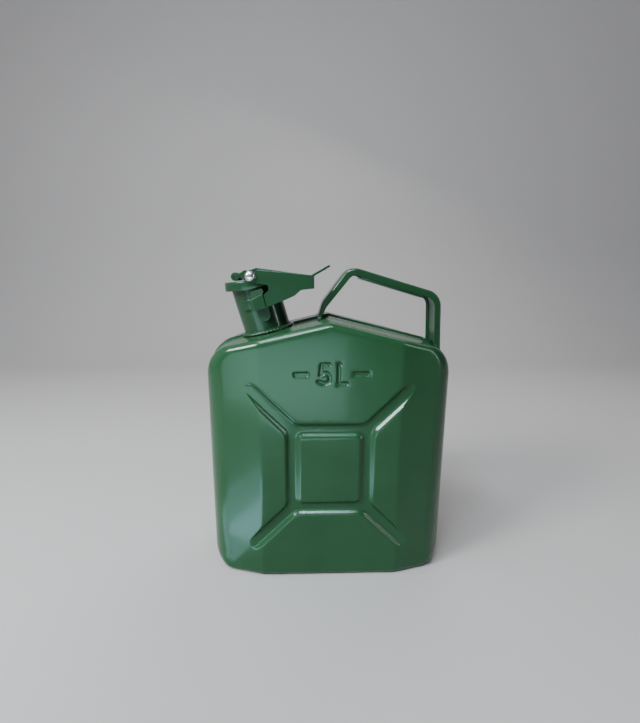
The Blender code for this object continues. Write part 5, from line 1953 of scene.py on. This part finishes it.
@dataclass
class Studio:
    """Camera at the photograph's angle, a pale floor that turns up into a wall, and soft lights."""

    camera_place: Place = (-0.021479, -0.412415, 0.29942)
    yaw: float = 0.0322
    pitch: float = 0.2116
    roll: float = 0.0059
    lens: float = 19.92
    sensor: float = 36.0
    nearest: float = 0.01
    floor_colour: Colour = (0.50, 0.48, 0.47)
    floor_swing: float = 1.03
    floor_roughness: float = 0.8
    floor_half_width: float = 2.4
    floor_front: float = -2.4
    wall_y: float = 1.4
    wall_height: float = 1.8
    sweep_radius: float = 0.5
    bright_sky: Colour = (0.60, 0.62, 0.66)
    dark_sky: Colour = (0.06, 0.06, 0.07)
    sky_span: Point = (-0.6, 0.8)
    lights: tuple[Softbox, ...] = (
        Softbox("panel_card", (-0.22, -0.50, 0.09), (-0.22, 0.0, 0.09), 0.56, 0.18, 1.55, (0.55, 1.0, 1.0), True),
        Softbox("floor_card", (-0.13, -0.17, 0.001), (-0.13, -0.17, 1.0), 0.05, 0.15, 0.13, (0.45, 0.80, 1.0), True),
        Softbox("floor_wide", (-0.16, -0.16, 0.002), (-0.16, -0.16, 1.0), 0.11, 0.20, 0.24, (0.45, 0.85, 1.0), True),
        Softbox("key_box", (-1.00, -0.60, 0.95), (0.0, 0.0, 0.15), 0.40, 0.40, 17.0, (0.97, 0.99, 1.0)),
        Softbox("key_glint", (-1.00, -0.60, 0.96), (0.0, 0.0, 0.15), 0.30, 0.30, 12.0, (0.66, 0.88, 1.0), True),
        Softbox("front_top", (-0.35, -0.75, 1.25), (0.0, 0.0, 0.2), 0.40, 0.14, 8.0, (0.80, 0.92, 1.0)),
        Softbox("front_glint", (-0.12, -0.90, 1.30), (0.0, 0.0, 0.2), 0.60, 0.10, 15.0, (0.60, 0.86, 1.0), True),
        Softbox("top_strip", (-0.45, -0.25, 1.25), (0.0, 0.0, 0.2), 0.55, 0.20, 5.5, (0.84, 0.94, 1.0)),
        Softbox("top_glint", (-0.45, -0.25, 1.26), (0.0, 0.0, 0.2), 0.55, 0.25, 5.5, (0.72, 0.90, 1.0), True),
        Softbox("right_line", (0.90, -0.42, 0.55), (0.0, 0.0, 0.2), 0.05, 1.00, 3.5, (0.90, 0.96, 1.0), True),
        Softbox("rear_box", (0.40, 0.85, 1.20), (0.0, 0.0, 0.15), 0.90, 0.60, 6.0, (1.0, 0.97, 0.94)),
    )

    def camera(self) -> None:
        """Add the camera."""
        data = bpy.data.cameras.new("camera")
        data.lens, data.sensor_width, data.clip_start = self.lens, self.sensor, self.nearest
        item = bpy.data.objects.new("camera", data)
        ahead = Vector((math.sin(self.yaw) * math.cos(self.pitch), math.cos(self.yaw) * math.cos(self.pitch),
                        -math.sin(self.pitch)))
        level = Vector((math.cos(self.yaw), -math.sin(self.yaw), 0.0))
        over = level.cross(ahead)
        right = level * math.cos(self.roll) + over * math.sin(self.roll)
        upward = over * math.cos(self.roll) - level * math.sin(self.roll)
        turn = Matrix((right, upward, -ahead)).transposed().to_4x4()
        item.matrix_world = Matrix.Translation(self.camera_place) @ turn
        bpy.context.scene.collection.objects.link(item)
        bpy.context.scene.camera = item

    def backdrop(self) -> None:
        """Add the floor, swept up into a wall behind the can."""
        line = [(self.floor_front, 0.0),
                *bend(self.wall_y - self.sweep_radius, self.sweep_radius, self.sweep_radius, -1, 16),
                (self.wall_y, self.wall_height)]
        width = self.floor_half_width
        floor = finished("floor", draped([[(-width, y, z), (width, y, z)] for y, z in line], loop=False))
        paint = Paint("floor_paint")
        pale = tuple(value * self.floor_swing for value in self.floor_colour)
        shade = paint.mix(paint.noise(paint.place, 6.0, 2.0, 0.5), self.floor_colour, pale)
        floor.data.materials.append(paint.closed(Base_Color=shade, Roughness=self.floor_roughness))

    def world(self) -> None:
        """Set the soft surrounding light."""
        world = bpy.data.worlds.new("studio")
        world.use_nodes = True
        book = Book(world.node_tree)
        way = book.add("ShaderNodeSeparateXYZ", {"Vector": book.add("ShaderNodeTexCoord").outputs["Generated"]})
        share = book.ramp(way.outputs["X"], *self.sky_span)
        book.feed(world.node_tree.nodes["Background"], {"Color": book.mix(share, self.bright_sky, self.dark_sky)})
        bpy.context.scene.world = world

    def build(self) -> None:
        """Build the whole studio."""
        self.camera()
        self.backdrop()
        self.world()
        for light in self.lights:
            light.build()


# The whole can.

@dataclass
class JerryCan:
    """Every sub-assembly of the can, with its finishes."""

    outline: Outline
    materials: dict[Finish, bpy.types.Material]

    def place(self, piece: Piece, body: Body, finish: Finish, *nodes: str) -> None:
        """Dress a piece, let it ride on its body, and hide the nodes that it stands for.

        Args:
            piece: The piece.
            body: The body it moves with.
            finish: Its finish.
            *nodes: Names of the nodes that it replaces.
        """
        piece.data.materials.clear()
        piece.data.materials.append(self.materials[finish])
        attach(piece, body.value)
        finish.slot
        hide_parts(*nodes)
        LOG.info("%s stands for %s on %s", piece.name, ", ".join(nodes), body.value)

    def build(self) -> None:
        """Build and place every piece."""
        stand = Stand(self.outline)
        can, neck, lid = CanBody(self.outline, Pressing(), stand), Neck(stand), Lid(stand)
        handle = Handle(self.outline)
        for side in Side:
            self.place(can.shell(side), Body.CAN, Finish.BODY, f"{side.word}_shell")
        self.place(can.bead(), Body.CAN, Finish.WELD, "seam_weld")
        self.place(neck.tube(), Body.CAN, Finish.PART, "neck_tube")
        self.place(neck.weld_ring(), Body.CAN, Finish.WELD, "neck_weld_ring")
        self.place(neck.seat(), Body.CAN, Finish.PART, "mouth_ring")
        self.place(neck.vent(), Body.CAN, Finish.PART, "vent_tube")
        self.place(neck.bracket(), Body.CAN, Finish.PART, "neck_bracket")
        self.place(neck.pin(), Body.CAN, Finish.PART, "hinge_pin")
        for side in Side:
            self.place(neck.lug(side), Body.CAN, Finish.PART, f"latch_lug_{side.word}")
        self.place(lid.dish(), Body.LID, Finish.PART, "lid_dish")
        self.place(lid.gasket(), Body.LID, Finish.RUBBER, "lid_gasket")
        self.place(lid.saddle(), Body.LID, Finish.PART, "lid_saddle")
        self.place(lid.strap(), Body.LID, Finish.PART, "hinge_strap")
        self.place(lid.axle(), Body.LID, Finish.ZINC, "pivot_axle")
        for side in Side:
            self.place(lid.cap(side), Body.LID, Finish.ZINC, f"pivot_cap_{side.word}")
        self.place(Lever(stand).build(), Body.LEVER, Finish.PART, "lever")
        self.place(handle.strap(), Body.CAN, Finish.PART, "handle_strap")
        self.place(handle.liner(), Body.CAN, Finish.PART, "handle_liner")
        for end in End:
            for side in Side:
                self.place(handle.weld(end, side), Body.CAN, Finish.WELD, f"handle_weld_{end.value}_{side.word}")


def main() -> None:
    """Build the finishes, the can and the studio."""
    logging.basicConfig(level=logging.INFO)
    groups = Groups.build()
    coatings = (Enamel(Finish.BODY, deep=(0.0125, 0.0720, 0.0250), pale=(0.0150, 0.0800, 0.0290)),
                Enamel(Finish.PART, roughness=0.22, dust=0.18),
                Enamel(Finish.WELD, roughness=0.24, skin_depth=mm(0.03)), ZincPlate(), Rubber())
    JerryCan(Outline(), {coating.finish: coating.material(groups) for coating in coatings}).build()
    Studio().build()


if __name__ == "__main__":
    main()
